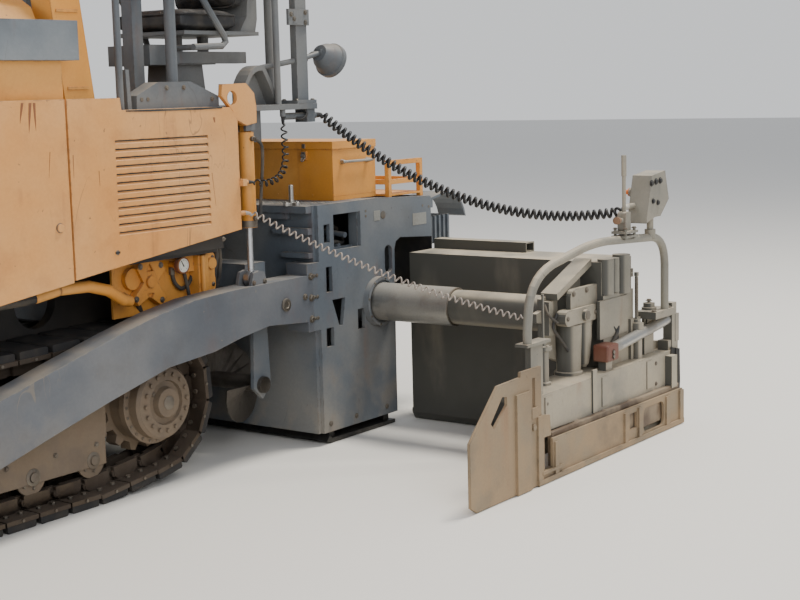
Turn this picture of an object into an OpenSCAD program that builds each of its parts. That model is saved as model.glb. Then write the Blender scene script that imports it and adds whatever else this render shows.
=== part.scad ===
// Tracked asphalt paver with an extending screed, whole vehicle.
// X is forward, Y is to the machine's left, Z is up, in millimetres; Z 0 is the ground.

/* [Machine] */
// Half width over the side panels and tow arms
half_w = 1250; // [1100:10:1400]
// Top of the front side panels
panel_top = 1664; // [1500:1:1800]
// Underside of the canopy roof
roof_z = 3590; // [3200:10:3800]
// Top surface of the operator deck
deck_z = 1616; // [1500:1:1700]

/* [Tracks] */
// Width of a track shoe
shoe_w = 300; // [250:5:350]
// Number of shoes on one track
shoe_n = 44; // [36:1:52]
// Thickness of a shoe with its pad
shoe_t = 50; // [35:1:70]
// Depth of the chain under the shoes
chain_t = 65; // [50:1:80]
// Radius of the drive sprocket's outer path
sprocket_r = 340; // [300:5:380]
// Height of the drive sprocket's axle
hub_z = 375; // [340:1:400]
// Position of the drive sprocket's axle
hub_x = -720; // [-800:5:-600]

/* [Hopper] */
// Height of the hopper wings' pivots
wing_pivot_z = 745; // [700:5:800]
// Radius of the push rollers
push_r = 85; // [60:1:120]
// Radius of the push roller shafts
push_shaft_r = 22; // [15:1:35]

/* [Screed] */
// Front face of the screed
screed_front = -1630; // [-1800:5:-1500]
// Top of the screed's front
screed_top = 1144; // [1000:1:1300]
// Radius of the auger flights
auger_r = 190; // [150:5:240]
// Radius of the auger shafts
auger_shaft_r = 38; // [25:1:60]
// Height of the tow points
tow_z = 340; // [250:5:500]
// Position of the tow points
tow_x = 1350; // [1200:10:1500]
// Radius of the tow point pins
tow_pin_r = 45; // [30:1:60]
// Radius of the inner guide tubes
inner_tube_r = 82.5; // [60:0.5:100]
// Radius of the middle guide tubes
mid_tube_r = 92.5; // [70:0.5:110]
// Radius of the outer guide tubes
outer_tube_r = 106; // [80:0.5:130]

/* [Lift cylinders] */
// Radius of the barrels
lift_barrel_r = 35; // [25:1:50]
// Radius of the rods
lift_rod_r = 14; // [10:1:25]
// Radius of the pins at both ends
lift_pin_r = 16; // [10:1:25]

/* [Extension] */
// Outer face of the end gates, from the centre line
gate_y = 2500; // [2300:10:2600]
// Radius of the hoop rail's tube
hoop_r = 19.5; // [15:0.5:25]

/* [Hidden] */
run_gap = 0.1;
seat = 0.3;
lift_drift = 5;
panel_in = half_w - 30;
track_y = half_w - 300;
wing_pivot_y = half_w - 475;
lift_x = -1240;
lift_y = half_w - 60;
lift_top_z = 1550;
lift_eye_z = 850;
tube_x = -2100;
tube_z = 640;
eps = 0.01;
steel = [0.55, 0.57, 0.6];
orange = [0.87, 0.56, 0.24];
grey = [0.36, 0.39, 0.43];
dark = [0.16, 0.17, 0.18];
beige = [0.6, 0.57, 0.5];
rubber = [0.09, 0.09, 0.09];

// Small helpers: a box by its extents, tubes along an axis or between two points, and plates from profiles.
module box(x0, x1, y0, y1, z0, z1) {
    translate([x0, y0, z0]) cube([x1 - x0, y1 - y0, z1 - z0]);
}
module cyl_y(x, z, y0, y1, r) {
    translate([x, y1, z]) rotate([90, 0, 0]) cylinder(h = y1 - y0, r = r, $fn = 48);
}
module cyl_x(y, z, x0, x1, r) {
    translate([x0, y, z]) rotate([0, 90, 0]) cylinder(h = x1 - x0, r = r, $fn = 48);
}
module cyl_z(x, y, z0, z1, r) {
    translate([x, y, z0]) cylinder(h = z1 - z0, r = r, $fn = 48);
}
module bar(a, b, r, n = 32) {
    d = b - a;
    h = norm(d);
    translate(a)
        rotate([0, acos(d[2] / h), atan2(d[1], d[0])])
            cylinder(h = h, r = r, $fn = n);
}
module pipe(points, r, n = 32) {
    for (k = [0 : len(points) - 2]) bar(points[k], points[k + 1], r, n);
    if (len(points) > 2)
        for (k = [1 : len(points) - 2]) translate(points[k]) sphere(r = r + 0.6, $fn = n);
}
// A bent tube lying in a plane across Y, swept along its path with rings of n sides.
module hoop(points, y, r, n = 16) {
    m = len(points);
    pts = [for (k = [0 : m - 1])
        let (a = points[max(k - 1, 0)], b = points[min(k + 1, m - 1)], d = (b - a) / norm(b - a))
            for (q = [0 : n - 1])
                [points[k][0] - r * sin(q * 360 / n) * d[1], y + r * cos(q * 360 / n),
                    points[k][1] + r * sin(q * 360 / n) * d[0]]];
    faces = concat(
        [[for (q = [0 : n - 1]) q]],
        [[for (q = [n - 1 : -1 : 0]) (m - 1) * n + q]],
        [for (k = [0 : m - 2]) for (q = [0 : n - 1])
            let (a = k * n + q, b = k * n + (q + 1) % n, c = a + n, d = b + n) each [[a, c, b], [b, c, d]]]);
    polyhedron(points = pts, faces = faces, convexity = 6);
}
function bezier(a, b, c, m) = [for (k = [0 : m]) let (t = k / m) (1 - t) * (1 - t) * a + 2 * t * (1 - t)
    * b + t * t * c];
module plate_xz(points, y0, y1) {
    translate([0, y1, 0]) rotate([90, 0, 0]) linear_extrude(y1 - y0) polygon(points);
}
module plate_yz(points, x0, x1) {
    translate([x0, 0, 0]) rotate([90, 0, 90]) linear_extrude(x1 - x0) polygon(points);
}
// A slab with round corners, thick along Y.
module soft_y(x0, x1, z0, z1, y0, y1, r) {
    plate_xz([for (c = [[x1 - r, z1 - r, 0], [x0 + r, z1 - r, 90], [x0 + r, z0 + r, 180], [x1 - r, z0 + r, 270]])
        for (k = [0 : 5]) [c[0] + r * cos(c[2] + k * 18), c[1] + r * sin(c[2] + k * 18)]], y0, y1);
}
module both() {
    children();
    mirror([0, 1, 0]) children();
}

// The track's path: a belt round four circles, each [x, z, outer radius], seen from the left side.
belt = [
    [-420, 340, 340],
    [1650, 320, 320],
    [1880, 350, 320],
    [hub_x, hub_z, sprocket_r],
];
function belt_at(i) = belt[(i + len(belt)) % len(belt)];
function normal_after(i) =
    let (a = belt_at(i), b = belt_at(i + 1), dx = b[0] - a[0], dz = b[1] - a[1], d = norm([dx, dz]))
        atan2(dz, dx) - acos((a[2] - b[2]) / d);
function turn(i) = let (t = normal_after(i) - normal_after(i - 1)) t - 360 * floor(t / 360);
function line_len(i) =
    let (a = belt_at(i), b = belt_at(i + 1), d = norm([b[0] - a[0], b[1] - a[1]]))
        sqrt(d * d - (a[2] - b[2]) * (a[2] - b[2]));
function arc_len(i) = belt[i][2] * turn(i) * PI / 180;
belt_total = arc_len(0) + arc_len(1) + arc_len(2) + arc_len(3) + line_len(0) + line_len(1) + line_len(2)
    + line_len(3);
function belt_point(s, i, lift) =
    s < arc_len(i)
        ? let (a = normal_after(i - 1) + s / belt[i][2] * 180 / PI, r = belt[i][2] - lift)
            [belt[i][0] + r * cos(a), belt[i][1] + r * sin(a)]
        : s - arc_len(i) < line_len(i)
            ? let (a = normal_after(i), t = s - arc_len(i), r = belt[i][2] - lift)
                [belt[i][0] + r * cos(a) - t * sin(a), belt[i][1] + r * sin(a) + t * cos(a)]
            : belt_point(s - arc_len(i) - line_len(i), (i + 1) % 4, lift);
function on_belt(s, lift) = belt_point(s - belt_total * floor(s / belt_total), 0, lift);
shoe_pitch = belt_total / shoe_n;

module track(side) {
    color(dark)
        translate([0, side * track_y, 0]) {
            translate([0, shoe_w / 2, 0]) rotate([90, 0, 0]) linear_extrude(shoe_w)
                difference() {
                    polygon([for (k = [0 : shoe_n - 1]) for (q = [[-0.46, 24], [-0.44, 0], [0.44, 0],
                        [0.46, 24]])
                        on_belt((k + q[0]) * shoe_pitch, q[1])]);
                    polygon([for (k = [0 : 3 * shoe_n - 1]) on_belt(k * shoe_pitch / 3, shoe_t)]);
                }
            translate([0, 55, 0]) rotate([90, 0, 0]) linear_extrude(110)
                difference() {
                    polygon([for (k = [0 : 2 * shoe_n - 1]) on_belt(k * shoe_pitch / 2, shoe_t - 5)]);
                    polygon([for (k = [0 : 3 * shoe_n - 1]) on_belt(k * shoe_pitch / 3, shoe_t + chain_t)]);
                }
        }
}

// Track frames: a long box beam inside each loop with skirts for the rollers, posts for two carrier
// rollers and a fork.
roller_x = [-400, -80, 240, 560, 880, 1200, 1520];
roller_z = shoe_t + chain_t + 62 + seat;
carrier_x = [150, 1050];
function carrier_z(x) = hub_z + sprocket_r - (x - hub_x) * 0.01731 - shoe_t - chain_t - 30 - 1;
module track_frame() {
    difference() {
        plate_xz([[-480, 262], [1560, 262], [1640, 290], [1640, 400], [1500, 470], [-330, 500], [-480,
            440]], half_w - 378, half_w - 222);
        for (x = [-150 : 300 : 1350]) cyl_y(x, 375, half_w - 390, half_w - 210, 45);
    }
    for (y = [track_y - 78, track_y + 68]) box(-470, 1590, y, y + 10, 150, 263);
    for (x = [-150, 750, 1350]) box(x - 70, x + 70, half_w - 470 + seat, half_w - 377, 300, 420);
    for (y = [track_y - 82, track_y + 64]) box(1630, 1960, y, y + 18, 300, 400);
    for (x = carrier_x) for (y = [track_y - 78, track_y + 68]) box(x - 28, x + 28, y, y + 10, 460,
        carrier_z(x) + 26);
}
module track_roller(x, z, r) {
    cyl_y(x, z, half_w - 367.7, half_w - 232.3, 24);
    cyl_y(x, z, track_y - 56, track_y + 56, r);
    for (s = [-1, 1]) cyl_y(x, z, track_y + s * 60 - 4, track_y + s * 60 + 4, r + 14);
}
module track_rollers_side() {
    for (x = roller_x) track_roller(x, roller_z, 62);
    for (x = carrier_x) track_roller(x, carrier_z(x), 30);
    cyl_y(1880, 350, half_w - 363.7, half_w - 236.3, 30);
    difference() {
        cyl_y(1880, 350, track_y - 54, track_y + 54, 203.5);
        for (s = [-1, 1]) cyl_y(1880, 350, track_y + s * 54 - 20, track_y + s * 54 + 20, 150);
    }
}

// Drive sprocket, its gear housing and the bolted hub cap.
tooth_n = 14;
module drive_sprocket() {
    translate([hub_x, track_y + 30, hub_z]) rotate([90, 0, 0]) linear_extrude(60)
        polygon([for (k = [0 : tooth_n - 1]) for (q = [[-0.3, 192], [-0.14, 222.5], [0.14, 222.5], [0.3,
            192]])
            let (a = (k + q[0]) * 360 / tooth_n) [q[1] * cos(a), q[1] * sin(a)]]);
    translate([hub_x, 0, hub_z]) rotate([-90, 0, 0]) rotate_extrude($fn = 64)
        polygon([[0, half_w - 470], [150, half_w - 470], [150, half_w - 390], [172, half_w - 382], [172,
            half_w - 210], [184, half_w - 202], [184, half_w - 172], [160, half_w - 168],
            [160, half_w - 124], [148, half_w - 110], [96, half_w - 104], [92, half_w - 118], [66,
                half_w - 118], [62, half_w - 90], [0, half_w - 90]]);
    for (k = [0 : 15]) {
        a = k * 22.5;
        cyl_y(hub_x + 122 * cos(a), hub_z + 122 * sin(a), half_w - 112, half_w - 96, 9);
    }
}

// Main frame: two long side plates joined by cross plates, the conveyor floor, the upper body walls, the posts
// the panels and doors close on, and the plates that carry the tow points.
module main_frame() {
    color(dark) {
        both() {
            difference() {
                plate_xz([[-1150, 330], [-1000, 300], [2560, 330], [2660, 420], [2660, 700], [1079.7, 700],
                    [1079.7, 1000], [-1150, 1000]], half_w - 520, half_w - 470);
                for (x = [-350, 150, 650]) cyl_y(x, 830, half_w - 550, half_w - 450, 110);
            }
            box(-1090, 1040, half_w - 100, half_w - 80, 1000, 1590);
            box(-1090, -1070, half_w - 471, half_w - 99, 1000, 1590);
            box(1020, 1040, half_w - 471, half_w - 99, 1000, 1590);
            box(-1090, 1040, half_w - 471, half_w - 126, 980, 1001);
            box(-1090, 1040, half_w - 130, half_w - 80, 1000, 1020);
            box(990, 1075, half_w - 100, half_w - 45, 860, 1590);
            box(-200, -130, half_w - 81, panel_in - seat, 1000, 1570);
            box(-1118, -1085, half_w - 100, panel_in - seat, 1100, 1545);
            box(990, 1040, half_w - 46, panel_in - seat, 900, 1570);
            for (z = [930, 1040 + seat, 1480, 1590 + seat]) box(1052, 1076, half_w - 55, half_w - 9, z,
                z + 20 - seat);
            for (z = [949, 1499]) cyl_z(1062, half_w - 18, z, z + 92, 7);
            plate_xz([[940, 1001], [1076, 1001], [1076, 712], [1130, 690], [1460, 600], [1460, 200], [1240,
                200],
                [1180, 330], [1000, 640], [940, 760]], half_w - 148, half_w - 130);
            box(940, 1060, half_w - 148, half_w - 90, 960, 1001);
            cyl_y(tow_x, tow_z, half_w - 146, half_w - 1, tow_pin_r);
            cyl_z(tow_x, half_w - 60, 480, 720, 42);
            cyl_z(tow_x, half_w - 60, 452, 490, 20);
            box(tow_x - 40, tow_x + 40, half_w - 131, half_w - 60, 560, 600);
            box(tow_x - 25, tow_x + 25, half_w - 131, half_w - 60, 460, 478);
        }
        for (x = [-1150, -200, 900, 1900, 2630]) box(x, x + 30, 519 - half_w, half_w - 519, 330, 541);
        box(-1150, 2660, 519 - half_w, half_w - 519, 540, 560);
        box(-1150, 1079.7, 519 - half_w, half_w - 519, 880, 900);
        box(-1150, -1120, 519 - half_w, half_w - 519, 899, 1590);
        box(2659, 2730, -120, 120, 360, 400);
        box(2659, 2730, -120, 120, 600, 640);
        cyl_z(2700, 0, 362, 638, 30);
    }
}
module engine_block() {
    color(dark) box(-150, 950, -380, 380, 900, 1560);
}

// Machinery seen under the left panel: mounting plate, star-shaped casting, valve block, round-cornered bracket,
// gauge on its tee and a thick hose that runs along the panel's lower edge.
star = [[-838, 806], [-806, 776], [-738, 822], [-672, 790], [-650, 826], [-706, 886], [-672, 946], [-700, 979.7],
    [-790, 979.7], [-812, 960], [-838, 930], [-790, 880]];
module side_machinery() {
    color(orange) {
        plate_xz([[-1060, 979.7], [-1060, 745], [-560, 745], [-560, 979.7]], half_w - 240, half_w - 228);
        difference() {
            plate_xz(star, half_w - 229, half_w - 190);
            plate_xz([[-765, 930], [-725, 930], [-745, 965]], half_w - 200, half_w - 180);
            plate_xz([[-765, 835], [-725, 835], [-745, 806]], half_w - 200, half_w - 180);
        }
        cyl_y(-745, 885, half_w - 191, half_w - 180, 26);
        cyl_y(-660, 905, half_w - 229, half_w - 205, 46);
        soft_y(-1145, -1050, 800, 975, half_w - 240, half_w - 188, 22);
        box(-1085, -1020, half_w - 229, half_w - 170, 760, 970);
        cyl_y(-1118, 925, half_w - 189, half_w - 176, 26);
        cyl_z(-1040, half_w - 160, 800, 970, 12);
    }
    color(steel) {
        cyl_y(-905, 940, half_w - 229, half_w - 168, 14);
        translate([-905, half_w - 168, 940]) rotate([-90, 0, 0]) rotate_extrude($fn = 48)
            polygon([[0, -8], [32, -8], [36, 0], [36, 22], [32, 24], [30, 19], [0, 19]]);
        box(-1022, -940, half_w - 229, half_w - 200, 900, 975);
    }
    color(dark) pipe([[-60, half_w - 130, 906], [-180, half_w - 118, 925], [-330, half_w - 118, 920],
        [-440, half_w - 124, 890], [-530, half_w - 136, 838], [-575, half_w - 150, 826],
        [-600, half_w - 205, 832], [-600, half_w - 229, 832]], 24);
}
// Bonnet over the engine with shelves for the side guards, chamfered shoulders, roof slots and an exhaust outlet.
module bonnet() {
    color(orange) {
        difference() {
            plate_yz([[45 - half_w, 1590 + seat], [half_w - 45, 1590 + seat], [half_w - 45, 1811 - seat],
                [half_w - 132, 1811 - seat], [half_w - 132, 1880],
                [half_w - 200, 2020], [half_w - 270, 2060], [270 - half_w, 2060], [200 - half_w, 2020],
                    [132 - half_w, 1880], [132 - half_w, 1811 - seat],
                [45 - half_w, 1811 - seat]], -190, 1045);
            plate_yz([[60 - half_w, 1580], [half_w - 60, 1580], [half_w - 60, 1796], [half_w - 147, 1796],
                [half_w - 147, 1876], [half_w - 212, 2010], [half_w - 276, 2045],
                [276 - half_w, 2045], [212 - half_w, 2010], [147 - half_w, 1876], [147 - half_w, 1796],
                    [60 - half_w, 1796]], -175, 1030);
            for (k = [0 : 9]) box(100 + k * 80, 145 + k * 80, 550 - half_w, half_w - 550, 2030, 2080);
        }
        box(970, 1045, half_w - 100, half_w - 45, 1590 + seat, 1640);
        box(970, 1045, 45 - half_w, 100 - half_w, 1590 + seat, 1640);
    }
    color(dark) {
        cyl_z(820, 430 - half_w, 2050, 2420, 62);
        cyl_z(820, 430 - half_w, 2050, 2120, 90);
    }
}
module side_guards() {
    color(grey) both() difference() {
        box(-250, 1040, half_w - 132 + seat, half_w - 10, 1811, 1961);
        box(-235, 1025, half_w - 133, half_w - 22, 1825, 1947);
    }
}

// Rear side panels with twelve louvres each, a rounded lower lip and the ear over the lift cylinder.
function lower_edge(x) = 969 - 0.118 * (x + 165);
louvre_pitch = 33;
module rear_panel() {
    difference() {
        plate_xz([[-165, lower_edge(-165)], [-165, panel_top], [-440, panel_top], [-446, deck_z], [-930,
            deck_z],
            [-1080, deck_z - 4], [-1125, 1562], [-1125, lower_edge(-1125)]], panel_in, half_w);
        plate_xz([[-185, lower_edge(-185) + 22], [-185, 1575], [-1105, 1555], [-1105, lower_edge(-1105)
            + 22]],
            panel_in - 1, half_w - 6);
        for (k = [0 : 11]) box(-935, -403, panel_in, half_w + 1, 1119 + k * louvre_pitch,
            1135 + k * louvre_pitch);
    }
    for (k = [0 : 11])
        plate_yz([[half_w - 4, 1113 + k * louvre_pitch], [half_w, 1119.5 + k * louvre_pitch],
            [half_w - 16, 1140 + k * louvre_pitch], [half_w - 20, 1138 + k * louvre_pitch]], -938, -400);
    difference() {
        plate_xz([[-1036, 1660], [-1042, 1711], [-1196, 1713], [-1246, 1669], [-1258, 1613], [-1256, 1540],
            [-1193, 1530], [-1126, 1556], [-1100, 1600]], half_w - 26, half_w - 6);
        cyl_y(-1103, 1651, half_w - 30, half_w, 30);
    }
}
module rear_panels() {
    color(orange) {
        both() rear_panel();
        cyl_x(half_w - 15, 1150, -1160, -1124, 11);
        box(-1150, -1124, half_w - 14, half_w + 20, 1270, 1300);
        cyl_x(half_w + 5, 1285, -1165, -1149, 11);
    }
}
module side_door() {
    difference() {
        plate_xz([[-155, lower_edge(-155) - 7], [1045, lower_edge(1045) - 7], [1045, panel_top],
            [-155, panel_top]], panel_in, half_w);
        plate_xz([[-135, lower_edge(-135) + 15], [1025, lower_edge(1025) + 15], [1025, panel_top - 20],
            [-135, panel_top - 20]], panel_in - 1, half_w - 6);
    }
    for (x = [250, 650]) box(x, x + 40, panel_in + 4, half_w - 5, lower_edge(x) + 10, panel_top - 15);
    cyl_y(-98, 1179, half_w - 10, half_w + 8, 16);
    for (z = [950, 1500]) difference() {
        union() {
            cyl_z(1062, half_w - 18, z, z + 90, 13);
            box(1026, 1062, half_w - 24, half_w - 12, z, z + 90);
        }
        cyl_z(1062, half_w - 18, z - 1, z + 91, 7 + run_gap);
    }
}

// The curved guard's side view, outer and inner line.
guard_outer = concat([[-1262, deck_z - 1]], bezier([-1262, 1690], [-1300, 1780], [-1362, 1790], 5),
    bezier([-1400, 1792], [-1450, 1730], [-1500, deck_z - 1], 5));
guard_inner = concat([[-1284, deck_z - 2]], bezier([-1284, 1686], [-1312, 1756], [-1362, 1766], 5),
    bezier([-1390, 1768], [-1432, 1712], [-1478, deck_z - 2], 5));
// Operator deck with its rear overhang, the crosswise slide box, the rear beam and the lift cylinders' brackets.
deck_back = -1730;
module platform() {
    color(dark) {
        box(deck_back, -195, 45 - half_w, half_w - 45, deck_z - 26, deck_z);
        difference() {
            box(-1420, -1150 - seat, 125 - half_w, half_w - 125, 1450, 1591);
            box(-1405, -1165, 140 - half_w, half_w - 140, 1430, 1580);
        }
        both() {
            plate_xz([[-575, deck_z - 1], [-578, 1670], [-700, 1724], [-894, 1724], [-1062, 1661],
                [-1062, deck_z - 1]], half_w - 120, half_w - 46);
            plate_xz([[-531, deck_z - 1], [-526, 1775], [-545, 1775], [-553, deck_z - 1]], half_w - 90,
                half_w - 50);
            difference() {
                plate_xz(guard_outer, half_w - 150, half_w - 78);
                plate_xz(guard_inner, half_w - 138, half_w - 60);
            }
            plate_xz([[-1400, deck_z - 1], [-1400, 1735], [-1450, 1740], [-1585, deck_z + 8],
                [-1585, deck_z - 1]], half_w - 146, half_w - 138);
            for (y = [half_w - 98, half_w - 42]) box(lift_x - 30, lift_x + 30, y, y + 14, 1505, 1592);
            box(lift_x - 30, lift_x + 30, half_w - 98, half_w - 28, 1591, 1606);
            cyl_y(lift_x, lift_top_z, half_w - 97, half_w - 29, lift_pin_r);
        }
        cyl_x(half_w - 85, 1560, deck_back - 25, deck_back + 200, 16);
        box(deck_back, deck_back + 60, half_w - 130, half_w - 60, 1530, 1591);
        cyl_z(-1500, half_w - 62, 1560, 1591, 13);
    }
}
module seat(y) {
    plate_xz([[-1010, deck_z + seat], [-1230, deck_z + seat], [-1205, 1806], [-1030, 1806]], y - 80, y + 80);
    for (s = [-1, 1]) box(-1450, -990, y + s * 95 - 30, y + s * 95 + 30, 1805, 1856);
    box(-1004, -838, y - 126, y + 126, 1798, 1884);
    box(-1250, -1010, y - 120, y + 120, 1800, 1822);
    cyl_z(-1300, y, 1819, 1930, 26);
    cyl_z(-1120, y, 1819, 1930, 34);
    box(-1330, -1090, y - 70, y + 70, 1810, 1835);
    box(-1440, -960, y - 215, y + 215, 1925, 1942);
    plate_xz([[-1441, 1926], [-1330, 1926], [-1390, 2010], [-1440, 2440], [-1462, 2440], [-1460, 2000]],
        y - 190, y + 190);
    for (s = [-1, 1]) hoop([[-1452, 2138], [-1440, 2155], [-1390, 2166], [-1070, 2166], [-1020, 2150],
        [-1020, 2120], [-1090, 2030], [-1180, 1920], [-1190, 1895], [-1165, 1876], [-985, 1870]],
        y + s * 240, 15, 10);
    cyl_y(-1452, 2150, y - 241, y + 241, 15);
    cyl_y(-1000, 1870, y - 241, y + 241, 13);
}
module seats() {
    color(dark) for (y = [350 - half_w, half_w - 350]) seat(y);
}
module seat_cushions() {
    color(rubber) for (y = [350 - half_w, half_w - 350]) {
        difference() {
            box(-1330, -940, y - 215, y + 215, 1942 + seat, 2030);
            for (s = [-1, 1]) translate([-940, y + s * 215, 1900]) rotate([0, 0, 45]) cube([70, 70, 400],
                center = true);
        }
        plate_xz([[-1393, 2040], [-1300, 2040], [-1350, 2430], [-1438.3, 2430]], y - 200, y + 200);
    }
}
module console() {
    color(dark) {
        for (y = [250 - half_w, -350, 350, half_w - 250]) box(-800, -740, y - 30, y + 30, deck_z, 2150);
        box(-810, -730, 150 - half_w, half_w - 150, 2140, 2190);
        plate_xz([[-900, 2189], [-700, 2189], [-700, 2330], [-760, 2400], [-900, 2300]], -260, 260);
        both() plate_xz([[-870, 2189], [-720, 2189], [-720, 2260], [-780, 2300], [-870, 2240]], 560,
            half_w - 350);
        for (y = [-180, -60, 60, 180]) cyl_z(-850, y, 2315, 2420, 8);
    }
}

// A work lamp on an arm: round housing with a hood, facing back and down at the screed.
module lamp() {
    bar([-1699, half_w - 88, 1824], [-1815, half_w - 80, 1850], 12);
    translate([-1815, half_w - 80, 1842]) rotate([0, 112, 180])
        rotate_extrude($fn = 48)
            polygon([[0, -20], [40, -16], [62, 20], [76, 62], [82, 66], [82, 92], [74, 92], [70, 72], [0, 72]]);
    box(-1838, -1792, half_w - 96, half_w - 64, 1838, 1866);
}
// Canopy: leaning front columns, a pipe post each side, rear posts on foot plates and a curved roof shell.
module canopy_posts() {
    both() {
        color(orange) {
            plate_xz([[-445, deck_z + seat], [-290, deck_z + seat], [-200, 2300], [-170, roof_z], [-270,
                roof_z],
                [-350, 2300]], half_w - 250, half_w - 140);
        }
        color(dark) {
            box(-1700, -1622, half_w - 105, half_w - 70, deck_z + seat, roof_z);
            box(-1728, -1590, half_w - 150, half_w - 46, deck_z + seat, deck_z + 16);
            box(-1706, -1560, half_w - 71, half_w - 58, 1972, 2044);
            box(-1622, -1596, half_w - 100, half_w - 57, 1980, 2036);
            bar([-1400, half_w - 176, 1770], [-1630, half_w - 90, 1812], 13);
            lamp();
            pipe([[-840, half_w - 100, 1724 + seat], [-840, half_w - 100, roof_z - 89]], 24);
            box(-1720, -150, half_w - 190, half_w - 70, roof_z - 90, roof_z);
        }
    }
    color(dark) for (x = [-1710, -900, -260]) box(x, x + 60, 189 - half_w, half_w - 189, roof_z - 80,
        roof_z - 10);
}
module canopy_roof() {
    color(orange) difference() {
        plate_xz([[-1950, roof_z + seat], [250, roof_z + seat], [330, roof_z + 30], [300, roof_z + 70],
            [150, roof_z + 100], [-1900, roof_z + 100], [-1990, roof_z + 60], [-1990, roof_z + 20]],
                20 - half_w, half_w - 20);
        for (q = [[35 - half_w, 120 - half_w], [200 - half_w, half_w - 200], [half_w - 120, half_w - 35]])
            plate_xz([[-1940, roof_z - 1], [240, roof_z - 1], [300, roof_z + 35], [145, roof_z + 88],
                [-1895, roof_z + 88], [-1975, roof_z + 50], [-1975, roof_z + 26]], q[0], q[1]);
    }
}
module handrails() {
    color(steel) {
        both() {
            pipe([[-500, half_w - 60, 1616 + seat], [-500, half_w - 60, 2560], [-590, half_w - 60, 2650],
                [-1380, half_w - 60, 2650],
                [-1470, half_w - 60, 2560], [-1470, half_w - 60, 1616 + seat]], 15);
            pipe([[-500, half_w - 60, 2180], [-1470, half_w - 60, 2180]], 12);
            box(-250, -190 - seat, half_w - 470, half_w - 430, 1960, 2000);
        }
        pipe([[-1640, half_w - 250, deck_z + seat], [-1640, half_w - 250, 2600], [-1640, half_w - 350,
            2680], [-1640, 350 - half_w, 2680],
            [-1640, 250 - half_w, 2600], [-1640, 250 - half_w, deck_z + seat]], 19);
        pipe([[-1640, half_w - 250, 2180], [-1640, 250 - half_w, 2180]], 14);
        pipe([[-225, half_w - 450, 1999], [-225, half_w - 450, 2560], [-225, half_w - 550, 2640], [-225,
            550 - half_w, 2640], [-225, 450 - half_w, 2560],
            [-225, 450 - half_w, 1999]], 19);
    }
}

// Hopper: fixed rear wall and centre tub between the wings, with a rubber apron at the front.
module hopper_tub() {
    color(grey) {
        difference() {
            box(1080, 1110, 60 - half_w, half_w - 60, 722, 1300);
            box(1079, 1111, -600, 600, 721, 880);
        }
        both() {
            plate_yz([[690, 560 + seat], [half_w - 520.3, 560 + seat], [half_w - 520.3, 716],
                [half_w - 536, 716]], 1081, 2550);
            box(1081, 2658, half_w - 536, half_w - 468, 700 + seat, 716);
            box(1081, 1110, half_w - 536, half_w - 468, 700 + seat, 723);
            for (x = [1150, 1800, 2450]) box(x, x + 40, half_w - 515, half_w - 461, 715, 759);
            cyl_x(wing_pivot_y, wing_pivot_z, 1150, 2655, 14);
        }
        plate_xz([[2661, 645], [2700, 645], [2820, 720], [2820, 760], [2790, 760], [2661, 690]],
            530 - half_w, half_w - 530);
        both() box(2600, 2662, half_w - 550, half_w - 530, 690, 716);
    }
}
module conveyor() {
    color(dark) for (s = [-1, 1]) {
        for (y = [90, half_w - 610]) box(-1120, 2600, s * y - 20, s * y + 20, 560, 585);
        for (k = [0 : 13]) box(-1080 + k * 275, -1040 + k * 275, min(s * 70, s * (half_w - 590)),
            max(s * 70, s * (half_w - 590)), 560.3, 592);
    }
}
wing_in = [[half_w - 450, 752], [half_w + 40, 838], [half_w + 220, 1000], [half_w + 340, 1250]];
wing_out = [[half_w + 358, 1250], [half_w + 238, 990], [half_w + 50, 818], [half_w - 450, 730]];
module hopper_wing() {
    color(grey) {
        plate_yz(concat(wing_in, wing_out), 1135, 2860);
        plate_yz(concat([[half_w - 450, 752], [half_w - 450, 1080], [half_w - 250, 1240]], [[half_w + 340,
            1250], [half_w + 238, 990], [half_w + 50, 818], [half_w - 450, 730]]),
            1125, 1145);
        plate_yz([[half_w - 450, 752], [half_w - 450, 800], [half_w + 40, 1010], [half_w + 250, 1080],
            [half_w + 238, 990], [half_w + 50, 818], [half_w - 450, 730]], 2845, 2860);
        for (x = [1220, 1500, 2150, 2520]) plate_yz([[half_w - 420, 745], [half_w + 50, 828],
            [half_w + 230, 995], [half_w + 350, 1249], [half_w + 385, 1249],
            [half_w + 265, 965], [half_w + 68, 785], [half_w - 390, 722]], x, x + 20);
        for (x = [1250, 1900, 2550]) difference() {
            union() {
                cyl_x(wing_pivot_y, wing_pivot_z, x, x + 90, 24);
                box(x, x + 90, wing_pivot_y, half_w - 420, wing_pivot_z - 12, wing_pivot_z + 10);
            }
            cyl_x(wing_pivot_y, wing_pivot_z, x - 1, x + 91, 14 + run_gap);
        }
    }
}

// Push beam with two free rollers, swinging on a centre pin.
module push_beam() {
    color(grey) {
        difference() {
            union() {
                box(2750, 2810, -760, 760, 430, 570);
                box(2680, 2760, -110, 110, 410, 590);
            }
            cyl_z(2700, 0, 300, 700, 30 + run_gap);
        }
        both() for (y = [40, 690]) difference() {
            plate_xz([[2805, 440], [2930, 450], [2960, 480], [2960, 520], [2930, 550], [2805, 560]],
                y - 12, y + 12);
            cyl_y(2915, 500, y - 20, y + 20, push_shaft_r + eps);
        }
    }
}
module push_roller(s) {
    color(steel) {
        translate([2915, 0, 500]) rotate([-90, 0, 0]) rotate_extrude($fn = 64)
            polygon([[0, s * 30], [push_shaft_r - 0.05, s * 30], [push_shaft_r - 0.05, s * 62],
                [push_r - 10, s * 62],
                [push_r, s * 72], [push_r, s * 658], [push_r - 10, s * 668], [push_shaft_r - 0.05, s * 668],
                [push_shaft_r - 0.05, s * 700], [0, s * 700]]);
    }
}

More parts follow.
